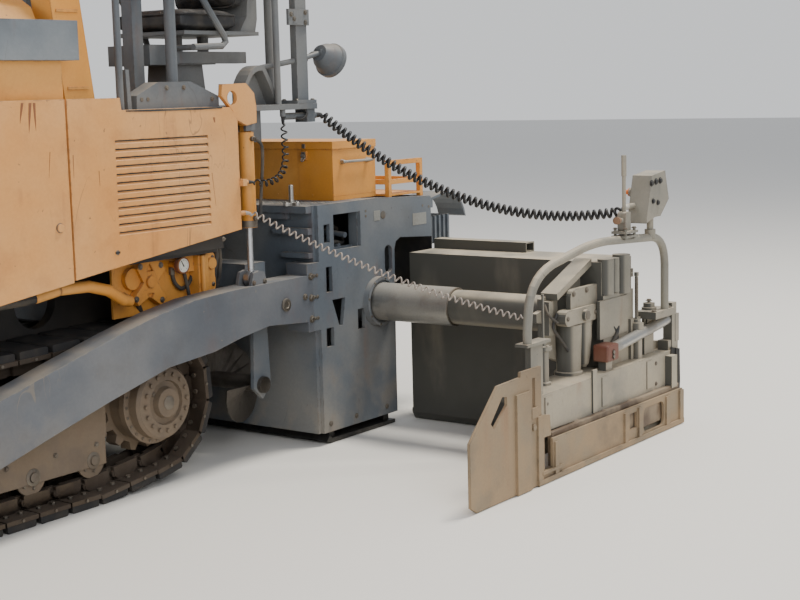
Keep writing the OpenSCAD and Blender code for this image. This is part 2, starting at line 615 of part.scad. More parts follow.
// Auger carrier behind the tractor, with a centre gearbox and two outer hangers.
auger_x = -1390;
auger_z = 330;
module auger_carrier() {
    color(grey) {
        box(-1440, -1300, 150 - half_w, half_w - 150, 790, 900);
        for (y = [-600, 600]) box(-1301, -1150 - seat, y - 60, y + 60, 800, 890);
        difference() {
            plate_xz([[auger_x - 55, 795], [auger_x - 70, 300], [auger_x - 40, 250], [auger_x + 40, 250],
                [auger_x + 70, 300], [auger_x + 55, 795]], -45, 45);
            cyl_y(auger_x, auger_z, -50, 50, auger_shaft_r + run_gap);
        }
        both() difference() {
            plate_xz([[auger_x - 40, 795], [auger_x - 60, 320], [auger_x, 262], [auger_x + 60, 320],
                [auger_x + 40, 795]], half_w - 170, half_w - 150);
            cyl_y(auger_x, auger_z, half_w - 180, half_w - 140, auger_shaft_r + run_gap);
        }
    }
}
function flight_ring(a, y) = [for (q = [[auger_shaft_r - 4, -7], [auger_r, -4], [auger_r, 4],
    [auger_shaft_r - 4, 7]])
    [q[0] * cos(a), y + q[1], q[0] * sin(a)]];
module auger_flight() {
    rings = 61;
    pts = [for (k = [0 : rings - 1]) each flight_ring(k * 18, 75 + k * ((half_w - 275) / (rings - 1)))];
    faces = concat(
        [[0, 1, 2, 3]],
        [[for (q = [3 : -1 : 0]) (rings - 1) * 4 + q]],
        [for (k = [0 : rings - 2]) for (q = [0 : 3])
            let (a = k * 4 + q, b = k * 4 + (q + 1) % 4, c = a + 4, d = b + 4) each [[a, c, b], [b, c, d]]]);
    polyhedron(points = pts, faces = faces, convexity = 10);
}
module auger() {
    color(steel) translate([auger_x, 0, auger_z]) {
        translate([0, 8, 0]) rotate([-90, 0, 0]) cylinder(h = half_w - 140, r = auger_shaft_r, $fn = 48);
        auger_flight();
    }
}

// Tow arms: deep box arms bending down to the tow points, with a forked bracket for each lift cylinder.
arm_top = [[1395, 430], [900, 420], [700, 448], [480, 502], [236, 566], [-100, 655], [-376, 725], [-600, 775],
    [-813, 808], [-1040, 820], [-1263, 824], [-1560, 827]];
arm_bottom = [[-1560, 609], [-1286, 631], [-1100, 606], [-921, 570], [-647, 548], [-304, 465], [0, 384],
    [256, 313],
    [480, 262], [700, 240], [1395, 250]];
module tow_arm() {
    difference() {
        union() {
            plate_xz(concat(arm_top, arm_bottom), half_w - 120, half_w);
            cyl_y(tow_x, tow_z, half_w - 120, half_w, 100);
            box(-1600, -1559, half_w - 125, half_w, 560, 880);
            for (y = [half_w - 108, half_w - 28]) plate_xz([[lift_x - 62, 800], [lift_x + 62, 800],
                [lift_x + 36, 878],
                [lift_x, 886], [lift_x - 36, 878]], y, y + 16);
        }
        cyl_y(tow_x, tow_z, half_w - 130, half_w + 10, tow_pin_r + run_gap);
        box(lift_x - 70, lift_x + 70, half_w - 90, half_w - 30, 770, 900);
    }
    cyl_y(lift_x, lift_eye_z, half_w - 107, half_w - 13, lift_pin_r);
    cyl_y(-1400, 712, half_w - 4, half_w + 4, 26);
}
// Lift cylinders: barrel on the deck's brackets, rod with an eye at the tow arm.
module lift_barrel() {
    color(orange) {
        difference() {
            union() {
                cyl_z(lift_x, lift_y, 1078, 1500, lift_barrel_r);
                cyl_z(lift_x, lift_y, 1078, 1104, lift_barrel_r + 3);
                cyl_y(lift_x, lift_top_z, lift_y - 16, lift_y + 16, 32);
                box(lift_x - 22, lift_x + 22, lift_y - 16, lift_y + 16, 1490, lift_top_z);
            }
            cyl_z(lift_x, lift_y, 1070, 1480, lift_rod_r + 6 + run_gap);
            cyl_y(lift_x, lift_top_z, lift_y - 40, lift_y + 40, lift_pin_r + run_gap);
        }
        difference() {
            cyl_z(lift_x, lift_y, 1079, 1110, lift_rod_r + 10);
            cyl_z(lift_x, lift_y, 1070, 1120, lift_rod_r + run_gap);
        }
    }
}
module lift_rod() {
    color(steel) {
        difference() {
            union() {
                cyl_z(lift_x, lift_y, lift_eye_z + 20, 1290, lift_rod_r);
                cyl_z(lift_x, lift_y, 1255, 1290, lift_rod_r + 6);
                cyl_y(lift_x, lift_eye_z, lift_y - 15, lift_y + 15, 36);
            }
            cyl_y(lift_x, lift_eye_z, lift_y - 20, lift_y + 20, lift_pin_r + lift_drift);
        }
    }
}

// Screed: side plates with their cut-outs, front wall, deck, walkway and the outer guide tubes.
side_plate = [[-1650, 60], [-1650, screed_top], [-2110, 1147], [-2570, 1123], [-2580, 915], [-2300, 936],
    [-2262, 920], [-2248, 880], [-2240, 300], [-2240, 60]];
module screed_side() {
    difference() {
        plate_xz(side_plate, half_w - 20, half_w);
        box(-1975, -1766, half_w - 50, half_w + 50, 925, 1092);
        box(-1735, -1692, half_w - 50, half_w + 50, 965, 1050);
        box(-1745, -1700, half_w - 50, half_w + 50, 730, 850);
        plate_xz([[-1740, 690], [-1840, 690], [-1815, 560], [-1790, 560]], half_w - 50, half_w + 50);
        soft_y(-2225, -2165, 770, 906, half_w - 50, half_w + 50, 28);
        cyl_y(-2160, 1060, half_w - 50, half_w + 50, 16);
        for (q = [[-1990, 520, 620], [-1745, 470, 560]]) 
            box(q[0], q[0] + 55, half_w - 50, half_w + 50, q[1], q[2]);
        cyl_y(tube_x, tube_z, half_w - 50, half_w + 50, outer_tube_r - 2);
    }
}
module screed_frame() {
    color(grey) {
        both() {
            screed_side();
            box(-1650, -1600, half_w - 130, half_w, 560, 880);
            difference() {
                cyl_y(tube_x, tube_z, 20, half_w + 18, outer_tube_r);
                cyl_y(tube_x, tube_z, 10, half_w + 40, mid_tube_r + run_gap);
            }
            difference() {
                cyl_y(tube_x, tube_z, half_w - 1, half_w + 32, outer_tube_r + 16);
                cyl_y(tube_x, tube_z, half_w - 50, half_w + 50, outer_tube_r - 1);
            }
            for (y = [150, 800]) difference() {
                plate_xz([[-1655, 60], [-1655, 1130], [-2240, 1130], [-2240, 60]], y, y + 20);
                cyl_y(tube_x, tube_z, y - 5, y + 25, outer_tube_r - 1);
                box(-1960, -1720, y - 5, y + 25, 300, 950);
            }
            box(-2600, -2560, 60, half_w - 19, 1040, 1120);
            for (q = [[-1930, 1010], [-1880, 960], [-1820, 1030]])
                bar([q[0], half_w - 440, q[1]], [q[0], half_w - 60, q[1] - 30], 14);
            box(-1990, -1750, half_w - 70, half_w - 50, 900, 930);
            box(-1990, -1970, half_w - 70, half_w - 19, 900, 1100);
        }
        difference() {
            plate_xz(concat([[-2620, 1098]], bezier([-2800, 1130], [-2960, 1120], [-2990, 985], 6),
                bezier([-2976, 990], [-2946, 1106], [-2800, 1118], 6), [[-2620, 1086]]),
                half_w - 230, half_w - 60);
        }
        box(-2830, -2650, half_w - 220, half_w - 80, 870, 1000);
        box(-2660, -2600, half_w - 220, half_w - 80, 985, 1002);
        for (k = [0 : 4]) box(-2840 + k * 40, -2824 + k * 40, half_w - 232, half_w - 68, 862, 1008);
        box(-2620, -2590, half_w - 220, half_w - 80, 990, 1100);
        box(screed_front - 25, screed_front, 19 - half_w, half_w - 19, 60, screed_top);
        both() for (q = [[half_w - 320, half_w - 150, 1080, 1110], [half_w - 240, half_w - 21, 1010, 1040],
            [half_w - 190, half_w - 21, 900, 925]])
            box(screed_front - 1, -1600, q[0], q[1], q[2], q[3]);
        box(-2250, -2230, 19 - half_w, half_w - 19, 60, 500);
        box(-2110, -1640, 19 - half_w, half_w - 19, 1124, 1144.5);
        plate_xz([[-2100, 1124], [-2100, 1144.5], [-2590, 1124], [-2620, 1100], [-2620, 1060], [-2600, 1060],
            [-2598, 1092], [-2570, 1104]], 19 - half_w, half_w - 19);
        both() {
            box(screed_front - 1, -1590, half_w - 550, half_w - 21, 1110, 1144);
        }
    }
}
module screed_plate() {
    color(steel) {
        plate_xz([[-1700, 40], [-1680, 14], [-1720, 3], [-2230, 3], [-2230, 20], [-1720, 25]], 10 - half_w,
            half_w - 10);
        for (x = [-1760, -2200]) box(x, x + 40, 30 - half_w, half_w - 30, 19, 60 - seat);
    }
}

// Tool box on the screed deck with its rack, and the lid on a rear hinge.
module tool_box() {
    color(orange) {
        difference() {
            box(-2240, -1900, 420, 1150, 1144.5 + seat, 1392);
            box(-2230, -1910, 430, 1140, 1155, 1400);
        }
        for (q = [[440, 465], [515, 1065], [1115, 1130]]) box(-2266, -2239, q[0], q[1], 1372, 1391.5);
        cyl_y(-2254, 1396, 441, 1129, 6);
    }
    color(dark) for (y = [560, 980]) box(-1901, -1892, y - 14, y + 14, 1340, 1384);
    color(orange) {
        for (y = [860, 1200]) {
            box(-2560, -2536, y - 12, y + 12, 1127, 1320);
            box(-2290, -2266, y - 12, y + 12, 1138, 1320);
        }
        for (z = [1296, 1200]) for (y = [848, 1188]) box(-2560, -2266, y, y + 24, z, z + 24);
        for (x = [-2560, -2290]) box(x, x + 24, 848, 1212, 1200, 1224);
        box(-2560, -2266, 848, 1212, 1142, 1152);
    }
}
module tool_lid() {
    color(orange) {
        difference() {
            box(-2241, -1894, 414, 1156, 1392 + seat, 1430);
            box(-2228, -1907, 427, 1143, 1380, 1420);
        }
        for (y = [470, 1070]) difference() {
            union() {
                cyl_y(-2254, 1396, y, y + 40, 11);
                box(-2254, -2236, y, y + 40, 1397, 1407);
            }
            cyl_y(-2254, 1396, y - 1, y + 41, 6 + run_gap);
        }
    }
}

// Guide tubes between screed and extension: the middle stage slides in the outer one, the inner one in it.
module guide_mid() {
    color(steel) difference() {
        cyl_y(tube_x, tube_z, 640, 1715, mid_tube_r);
        cyl_y(tube_x, tube_z, 600, 1800, inner_tube_r + run_gap);
    }
}

// Extension: pull-out body behind the screed, inner guide tube, upper box tube and the side structure.
module extension() {
    color(beige) {
        difference() {
            plate_xz([[-2340, 40], [-2340, 856], [-2640, 856], [-2640, 430], [-2950, 400], [-2950, 40]],
                half_w + 25, gate_y - 140);
            plate_xz([[-2360, 20], [-2360, 836], [-2620, 836], [-2620, 410], [-2930, 380], [-2930, 20]],
                half_w + 45, gate_y - 160);
        }
        plate_xz([[-2362, 4], [-2340, 40], [-2340, 60], [-2930, 60], [-2930, 4]], half_w + 20, gate_y - 60);
        difference() {
            box(-2640, -2560, half_w + 25, 1825, 855, 905);
            box(-2632, -2568, half_w + 20, 1830, 862, 898);
        }
        difference() {
            cyl_y(tube_x, tube_z, half_w - 30, gate_y - 240, inner_tube_r);
            cyl_y(tube_x, tube_z, half_w - 40, gate_y - 250, inner_tube_r - 12);
        }
        plate_xz([[-1990, 470], [-1990, 612], [-1940, 622], [-1940, 662], [-1990, 672], [-1990, 722], [-2030,
            736], [-2341, 858], [-2341, 340]], gate_y - 275, gate_y - 250);
        plate_xz([[-2026, 716], [-2341, 840], [-2341, 872], [-2020, 746]], gate_y - 275, gate_y - 190);
        box(-2030, -1990, gate_y - 275, gate_y - 215, 560, 712);
        cyl_y(-1965, 640, gate_y - 295, gate_y - 274, 11);
        plate_xz([[-1560, 60], [-1560, 340], [-1620, 360], [-2341, 360], [-2341, 60]], gate_y - 170,
            gate_y - 150);
        plate_xz([[-1640, 203], [-1640, 364], [-2990, 364], [-2990, 178]], gate_y - 140, gate_y - 60);
        box(-1600, -1520, gate_y - 155, gate_y - 24 - run_gap, 70, 400);
        box(-1690, -1590, gate_y - 100, gate_y - 72, 200, 593);
        box(-1700, -1510, gate_y - 100, gate_y - 38, 592, 605);
        box(-2342, -1600, gate_y - 251, gate_y - 139, 330, 361);
        box(-2640, -2340, gate_y - 141, gate_y - 130, 60, 700);
        box(-2135, -2095, gate_y - 61, gate_y - 52, 203, 400);
        box(-2960, -2639, gate_y - 146, gate_y - 139, 80, 340);
        for (x = [-1740, -2250, -2700]) box(x, x + 60, gate_y - 61, gate_y - 56, 215, 350);
        side_fittings();
        gearbox();
        uprights();
    }
}
// What stands on the extension's side beam: a flanged column and rod, thickness spindle, push bar with its clamp,
// two stays, the rear casting with its top hat, and the rear box over the rubber flap.
column = [[0, 352], [34, 352], [34, 372], [24, 376], [24, 512], [39, 516], [39, 534], [14, 536],
    [14, 548], [6, 550], [6, 764], [0, 764]];
spindle = [[0, 352], [26, 352], [26, 500], [33, 504], [33, 536], [20, 540], [20, 552], [8, 554],
    [8, 760], [11, 762], [11, 778], [0, 778]];
top_hat = [[0, 572], [36, 572], [36, 590], [28, 593], [28, 612], [8, 616], [8, 624], [0, 624]];
module turned_z(x, y, profile) {
    translate([x, y, 0]) rotate_extrude($fn = 36) polygon(profile);
}
module side_fittings() {
    turned_z(-1877, gate_y - 180, column);
    turned_z(-2640, gate_y - 112, spindle);
    turned_z(-2787, gate_y - 120, top_hat);
    bar([-2300, gate_y - 95, 446], [-2930, gate_y - 95, 512], 26);
    box(-2352, -2250, gate_y - 132, gate_y - 58, 412, 482);
    box(-2330, -2270, gate_y - 120, gate_y - 80, 352, 420);
    box(-2905, -2700, gate_y - 150, gate_y - 40, 545, 580);
    soft_y(-2895, -2745, 480, 562, gate_y - 134, gate_y - 108, 20);
    for (x = [-2690, -2830]) box(x, x + 100, gate_y - 130, gate_y - 116, 352, 558);
    box(-2975, -2925, gate_y - 112, gate_y - 64, 352, 596);
    box(-3000, -2960, gate_y - 128, gate_y - 62, 400, 538);
    box(-3000, -2890, gate_y - 124, gate_y - 68, 354, 412);
    box(-2900, -2840, gate_y - 72, gate_y - 24 - run_gap, 188, 346);
    plate_xz([[-2880, 300], [-2984, 352], [-2998, 190], [-2942, 66], [-2890, 70]], gate_y - 152, gate_y - 138);
}
// Gearbox with its bolted flange, round-ended bracket, boss, drum and the tapered drive cone.
module gearbox() {
    soft_y(-2336, -2110, 560, 738, gate_y - 246, gate_y - 180, 30);
    soft_y(-2392, -2092, 612, 756, gate_y - 187, gate_y - 162, 40);
    soft_y(-2335, -2020, 596, 668, gate_y - 200, gate_y - 149, 35);
    cyl_y(-2200, 630, gate_y - 150, gate_y - 133, 27);
    turned_z(-2150, gate_y - 208, [[0, 352], [66, 352], [66, 374], [56, 378], [62, 592], [0, 592]]);
    turned_z(-2262, gate_y - 196, [[0, 374], [15, 376], [27, 392], [36, 440], [42, 520], [43, 620], [0, 620]]);
}
module uprights() {
    for (q = [[-2384, 702, 868, 38], [-2456, 706, 866, 30], [-2540, 692, 874, 42]]) {
        cyl_z(q[0], gate_y - 140, q[1], q[2], q[3]);
    }
    box(-2576, -2300, gate_y - 142, gate_y - 126, 500, 680);
    box(-2618, -2592, gate_y - 141, gate_y - 118, 760, 800);
}
module hoop_rail() {
    color(beige) {
        hoop(concat([[-1545, 605 + seat], [-1545, 660]], bezier([-1560, 760], [-1590, 880], [-1760, 915], 6),
            bezier([-2010, 955], [-2160, 975], [-2330, 963], 5), bezier([-2690, 943], [-2830, 935], [-2835,
                800], 7),
            [[-2835, 580 + seat]]), gate_y - 60, hoop_r);
        for (z = [968, 988]) box(-2482, -2362, gate_y - 98, gate_y - 22, z, z + 11);
        for (x = [-2466, -2378]) for (y = [gate_y - 86, gate_y - 34]) cyl_z(x, y, 960, 1010, 7);
        soft_y(-2448, -2396, 996, 1086, gate_y - 84, gate_y - 42, 12);
        bar([-2396, gate_y - 62, 1046], [-2372, gate_y - 62, 1050], 13);
        cyl_z(-2420, gate_y - 62, 1085, 1345, 9);
        cyl_z(-2420, gate_y - 62, 1250, 1345, 12);
        cyl_z(-2680, gate_y - 60, 940, 983, 26);
        cyl_z(-2680, gate_y - 60, 980, 1043, 16);
    }
}
// End gate: front plate with its slanted slot, slotted tongue, raised channel, and a long low wall behind.
module end_gate() {
    color(beige) {
        difference() {
            plate_xz([[-1022, 30], [-1022, 290], [-1232, 484], [-1405, 490], [-1408, 511], [-1570, 511],
                [-1570, 300], [-1640, 290], [-1650, 182], [-2930, 176], [-2930, 4], [-1062, 4]],
                gate_y - 24, gate_y - 11);
            plate_xz([[-1176, 340], [-1199, 314], [-1300, 395], [-1300, 428], [-1264, 434]], gate_y - 40,
                gate_y + 10);
            box(-1520, -1498, gate_y - 40, gate_y + 10, 345, 470);
            box(-1662, -1592, gate_y - 40, gate_y + 10, 55, 200);
            box(-2441, -2370, gate_y - 40, gate_y + 10, 75, 150);
            soft_y(-2726, -2510, 34, 150, gate_y - 40, gate_y + 10, 30);
        }
        box(-1520 + run_gap, -1500, gate_y - 80, gate_y - 23, 4, 340);
        box(-1620, -1600 - run_gap, gate_y - 54, gate_y - 23, 4, 50);
        box(-2840 + run_gap, -2820, gate_y - 50, gate_y - 23, 4, 170);
        box(-1473, -1360, gate_y - 12, gate_y, 4, 423);
        box(-1570, -1530, gate_y - 12, gate_y - 2, 4, 300);
        box(-1536, -1484, gate_y - 12, gate_y - 4, 300, 345);
        cyl_y(-1500, 262, gate_y - 12, gate_y, 14);
        box(-2930, -1530, gate_y - 12, gate_y, 4, 26);
        for (x = [-1700, -2480, -2340]) box(x, x + 30, gate_y - 12, gate_y - 2, 24, 165);
        box(-1740, -1560, gate_y - 12, gate_y, 44, 56);
        box(-2930, -2890, gate_y - 12, gate_y - 2, 24, 170);
        box(-2780, -2740, gate_y - 12, gate_y - 2, 24, 165);
    }
}
module handset() {
    color(grey) {
        plate_xz([[-2560, 1020], [-2620, 1240], [-2760, 1256], [-2800, 1120], [-2710, 1044], [-2650,
            1043.3]], 2380, 2480);
        cyl_x(2402, 1100, -2520 - 80, -2520, 14);
    }
    color(orange) cyl_y(-2630, 1160, 2360, 2385, 20);
}

// Curled control cables drawn as plain tubes of their coils' outer size.
function ring_at(p, a, b, r, n) =
    let (d = (b - a) / norm(b - a), w = cross(d, [0.35, -0.45, 0.82]), u = w / norm(w), v = cross(u, d))
        [for (k = [0 : n - 1]) p + r * (cos(k * 360 / n) * u + sin(k * 360 / n) * v)];
module cord(points, r, n = 8) {
    m = len(points);
    pts = [for (k = [0 : m - 1]) each ring_at(points[k], points[max(k - 1, 0)], points[min(k + 1, m - 1)],
        r, n)];
    faces = concat(
        [[for (q = [0 : n - 1]) q]],
        [[for (q = [n - 1 : -1 : 0]) (m - 1) * n + q]],
        [for (k = [0 : m - 2]) for (q = [0 : n - 1])
            let (a = k * n + q, b = k * n + (q + 1) % n, c = a + n, d = b + n) each [[a, c, b], [b, c, d]]]);
    polyhedron(points = pts, faces = faces, convexity = 4);
}
function sag(a, b, drop, m) = [for (k = [0 : m]) let (t = k / m) a + t * (b - a) - [0, 0,
    drop * 4 * t * (1 - t)]];
handset_route = concat([[deck_back - 25.3, 1165, 1560], [deck_back - 40, 1165, 1560]],
    sag([-1800, 1180, 1555], [-2440, 2388, 1082], 170, 22), [[-2500, 2402, 1100], [-2519.7, 2402, 1100]]);
control_route = concat([[-1160.3, 1235, 1150], [-1172, 1235, 1150]],
    sag([-1215, 1270, 1132], [-1955, 2140, 640], 40, 20), [[-1965, 2190, 640], [-1965, 2204.7, 640]]);
panel_route = [[-1500, 1188, 1559.7], [-1500, 1188, 1540], [-1490, 1202, 1450], [-1450, 1235, 1360],
    [-1380, 1262, 1300], [-1290, 1268, 1275], [-1210, 1258, 1280], [-1180, 1255, 1285], [-1165.3, 1255,
        1285]];

main_frame();
engine_block();
side_machinery();
bonnet();
side_guards();
rear_panels();
platform();
console();
seats();
seat_cushions();
canopy_posts();
canopy_roof();
handrails();
track(1);  // track_left
track(-1);  // track_right
color(grey) both() track_frame();  // track_frames
color(dark) both() track_rollers_side();  // track_rollers
color(beige) both() drive_sprocket();  // drive_sprockets
hopper_tub();
conveyor();
auger_carrier();
color(orange) side_door();  // side_door_left
color(orange) mirror([0, 1, 0]) side_door();  // side_door_right
hopper_wing();  // hopper_wing_left
mirror([0, 1, 0]) hopper_wing();  // hopper_wing_right
push_beam();
push_roller(1);  // push_roller_left
push_roller(-1);  // push_roller_right
auger();  // auger_left
mirror([0, 1, 0]) auger();  // auger_right
color(grey) both() tow_arm();  // tow_arms
screed_frame();
screed_plate();
tool_box();
tool_lid();
lift_barrel();  // lift_barrel_left
mirror([0, 1, 0]) lift_barrel();  // lift_barrel_right
lift_rod();  // lift_rod_left
mirror([0, 1, 0]) lift_rod();  // lift_rod_right
guide_mid();  // guide_mid_left
mirror([0, 1, 0]) guide_mid();  // guide_mid_right
extension();  // extension_left
mirror([0, 1, 0]) extension();  // extension_right
hoop_rail();  // hoop_rail_left
mirror([0, 1, 0]) hoop_rail();  // hoop_rail_right
end_gate();  // end_gate_left
mirror([0, 1, 0]) end_gate();  // end_gate_right
handset();
color(rubber) cord(handset_route, 23);  // handset_cord
color(rubber) cord(control_route, 14);  // control_cord
color(rubber) cord(panel_route, 16);  // panel_cord
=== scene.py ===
import math

import bmesh
import bpy
import numpy as np
from mathutils import Matrix, Vector


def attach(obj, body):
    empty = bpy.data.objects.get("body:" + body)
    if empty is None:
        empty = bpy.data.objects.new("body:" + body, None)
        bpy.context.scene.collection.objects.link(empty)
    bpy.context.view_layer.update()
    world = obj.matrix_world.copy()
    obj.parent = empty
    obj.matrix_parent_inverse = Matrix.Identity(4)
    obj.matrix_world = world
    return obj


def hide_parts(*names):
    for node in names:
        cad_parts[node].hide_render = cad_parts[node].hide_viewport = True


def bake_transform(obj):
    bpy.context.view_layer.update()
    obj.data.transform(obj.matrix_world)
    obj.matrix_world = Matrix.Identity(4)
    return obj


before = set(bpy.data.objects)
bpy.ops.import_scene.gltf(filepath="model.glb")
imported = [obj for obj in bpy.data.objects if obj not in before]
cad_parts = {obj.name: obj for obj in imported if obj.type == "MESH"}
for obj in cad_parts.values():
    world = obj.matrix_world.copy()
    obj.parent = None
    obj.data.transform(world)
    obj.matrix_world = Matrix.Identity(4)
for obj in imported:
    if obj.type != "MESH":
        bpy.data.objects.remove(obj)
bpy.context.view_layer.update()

# Camera and studio
# The camera stands beside the machine's front left corner at eye height and looks back along its side.
# A pale floor and a few large soft lamps stand in for the open street.
turn, dip, lean = math.radians(-143.935), math.radians(8.035), math.radians(1.4635)
ahead = Vector((math.cos(turn) * math.cos(dip), math.sin(turn) * math.cos(dip), -math.sin(dip)))
level = Vector((math.sin(turn), -math.cos(turn), 0))
down = ahead.cross(level)
right = math.cos(lean) * level + math.sin(lean) * down
under = -math.sin(lean) * level + math.cos(lean) * down


def new_object(name, data):
    """An object that is shown in the scene."""
    made = bpy.data.objects.new(name, data)
    bpy.context.scene.collection.objects.link(made)
    return made


camera = new_object("camera", bpy.data.cameras.new("camera"))
picture_width, focal_length, sensor = 800, 1493, 36
camera.data.sensor_width = sensor
camera.data.lens = sensor * focal_length / picture_width
camera.data.clip_end = 200
facing = Matrix((right, -under, -ahead)).transposed().to_4x4()
camera.matrix_world = Matrix.Translation((3.73, 5.63, 1.67)) @ facing
bpy.context.scene.camera = camera


def tone(red, green, blue):
    """A colour given as it looks on a screen, 0 to 255, as linear light."""
    parts = [c / 255 for c in (red, green, blue)]
    return tuple(c / 12.92 if c < 0.0404 else ((c + 0.055) / 1.055) ** 2.4 for c in parts) + (1.0,)


def put(tree, kind, settings=None, **sockets):
    """One shader node with its settings, and with values or links on its inputs."""
    made = tree.nodes.new("ShaderNode" + kind)
    for key, value in (settings or {}).items():
        setattr(made, key, value)
    for key, value in sockets.items():
        place = int(key[1:]) if key[0] == "n" and key[1:].isdigit() else key.replace("_", " ")
        if isinstance(value, bpy.types.NodeSocket):
            tree.links.new(value, made.inputs[place])
        else:
            made.inputs[place].default_value = value
    return made


def new_look(name):
    """A new material with its node tree and its shader."""
    made = bpy.data.materials.new(name)
    made.use_nodes = True
    return made, made.node_tree, made.node_tree.nodes["Principled BSDF"]


floor_mesh = bpy.data.meshes.new("floor")
floor_mesh.from_pydata([(-60, -60, 0), (60, -60, 0), (60, 60, 0), (-60, 60, 0)], [], [(0, 1, 2, 3)])
floor = new_object("floor", floor_mesh)
floor_look, tree, shader = new_look("pale_floor")
shader.inputs["Roughness"].default_value = 0.9
speckle = put(tree, "TexNoise", Scale=3.0, Detail=6.0)
shade = put(tree, "Mix", {"data_type": "RGBA"}, Factor=speckle.outputs["Fac"], n6=tone(228, 224, 216),
            n7=tone(221, 217, 209))
tree.links.new(shade.outputs[2], shader.inputs["Base Color"])
floor_mesh.materials.append(floor_look)

world = bpy.data.worlds.new("sky")
bpy.context.scene.world = world
world.use_nodes = True
sky = world.node_tree
sky.nodes["Background"].inputs["Strength"].default_value = 0.75
sky.nodes["Background"].inputs["Color"].default_value = (0.86, 0.91, 1.0, 1.0)
seen = put(sky, "Background", Strength=1.0, Color=tone(236, 238, 240))
path = put(sky, "LightPath")
either = put(sky, "MixShader", n0=path.outputs["Is Camera Ray"], n2=seen.outputs[0])
sky.links.new(sky.nodes["Background"].outputs[0], either.inputs[1])
sky.links.new(either.outputs[0], sky.nodes["World Output"].inputs["Surface"])


def lamp(name, place, aim, size, power, colour):
    """A round soft lamp that points at a place."""
    light = bpy.data.lights.new(name, "AREA")
    light.shape = "DISK"
    light.size = size
    light.energy = power
    light.color = colour
    made = new_object(name, light)
    made.location = place
    made.rotation_euler = (Vector(aim) - Vector(place)).to_track_quat("-Z", "Y").to_euler()


lamp("high_key", (-5.5, 3.5, 11.0), (-1.0, 1.0, 0.6), 3.0, 1500, (1.0, 0.96, 0.88))
lamp("side_fill", (3.5, 9.0, 4.5), (-0.8, 1.0, 0.8), 5.0, 290, (0.95, 0.97, 1.0))
lamp("front_fill", (9.0, -3.0, 6.0), (1.0, 0.0, 1.0), 5.0, 270, (0.97, 0.98, 1.0))

# Curled control cables
# Three coiled rubber cables: a thick dark one from the deck to the handset, a thin dusty one from the side
# panel to the extension's socket, and a short dark one from below the deck to the side panel.
def store():
    """Points and faces of many small parts that become one mesh."""
    return {"points": [], "faces": []}


def gather(kept, points, faces):
    """Adds points and faces to a store."""
    start = len(kept["points"])
    kept["points"].extend(tuple(p) for p in points)
    kept["faces"].extend(tuple(start + i for i in f) for f in faces)


def frame_of(direction):
    """Two directions across an axis, and the axis itself."""
    axis = Vector(direction).normalized()
    side = axis.cross(Vector((0, 0, 1)) if abs(axis.z) < 0.9 else Vector((1, 0, 0))).normalized()
    return side, axis.cross(side), axis


def circle(place, side, other, radius, sides):
    """Points spaced evenly round a place."""
    turns = [2 * math.pi * k / sides for k in range(sides)]
    return [place + radius * (math.cos(a) * side + math.sin(a) * other) for a in turns]


def add_skin(kept, points, sides, ring=False):
    """A skin over rows of points, capped at both ends or closed round on itself for a ring."""
    faces, rows = [], len(points) // sides
    for r in range(rows if ring else rows - 1):
        up = (r + 1) % rows * sides - r * sides
        for k in range(sides):
            a, b = r * sides + k, r * sides + (k + 1) % sides
            faces.append((a, b, b + up, a + up))
    if not ring:
        faces.append(tuple(range(sides - 1, -1, -1)))
        faces.append(tuple((rows - 1) * sides + k for k in range(sides)))
    gather(kept, points, faces)


def smooth_route(points, step):
    """Points along one smooth curve through the given ones, about a step apart."""
    p = [Vector(q) for q in points]
    p = [2 * p[0] - p[1]] + p + [2 * p[-1] - p[-2]]
    dense = []
    for i in range(1, len(p) - 2):
        count = max(2, int((p[i + 1] - p[i]).length / step * 2))
        for k in range(count):
            t = k / count
            a, b, c, d = p[i - 1], p[i], p[i + 1], p[i + 2]
            bend, twist = 2 * a - 5 * b + 4 * c - d, 3 * b - a - 3 * c + d
            dense.append(0.5 * ((2 * b) + (c - a) * t + bend * t * t + twist * t ** 3))
    dense.append(p[-2])
    out = [dense[0]]
    for q in dense[1:]:
        if (q - out[-1]).length >= step:
            out.append(q)
    if (out[-1] - dense[-1]).length > step * 0.3:
        out.append(dense[-1])
    else:
        out[-1] = dense[-1]
    return out


def add_tube(kept, route, radius, sides=10):
    """A round tube along a route. Its rings are carried along without twisting."""
    route = [Vector(p) for p in route]
    side = frame_of(route[1] - route[0])[0]
    points, n = [], len(route)
    for i, p in enumerate(route):
        way = (route[min(i + 1, n - 1)] - route[max(i - 1, 0)]).normalized()
        side = (side - side.dot(way) * way).normalized()
        r = radius[i] if isinstance(radius, (list, tuple)) else radius
        points += circle(p, side, way.cross(side), r, sides)
    add_skin(kept, points, sides)


def piece(kept, name, body, material, edge=0.0, sharp=35.0):
    """One object of what a store holds, sharp at its corners, rounded if asked, riding on a body."""
    mesh = bpy.data.meshes.new(name)
    mesh.from_pydata(kept["points"], [], kept["faces"])
    work = bmesh.new()
    work.from_mesh(mesh)
    bmesh.ops.recalc_face_normals(work, faces=work.faces)
    for e in work.edges:
        e.smooth = len(e.link_faces) == 2 and e.calc_face_angle(0) < math.radians(sharp)
    for f in work.faces:
        f.smooth = True
    work.to_mesh(mesh)
    work.free()
    made = new_object(name, mesh)
    mesh.materials.append(material)
    if edge:
        cut = made.modifiers.new("edge", "BEVEL")
        cut.width = edge
        cut.segments = 2
        cut.limit_method = "ANGLE"
        cut.angle_limit = math.radians(40)
    if body:
        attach(made, body)
    return made


def blend_colour(tree, share, first, second, way="MIX"):
    """One colour laid over another by a share."""
    settings = {"data_type": "RGBA", "blend_type": way}
    return put(tree, "Mix", settings, n0=share, n6=first, n7=second).outputs[2]


def sums(tree, way, first, second=0.0, clamp=False):
    """One step of arithmetic."""
    return put(tree, "Math", {"operation": way, "use_clamp": clamp}, n0=first, n1=second).outputs[0]


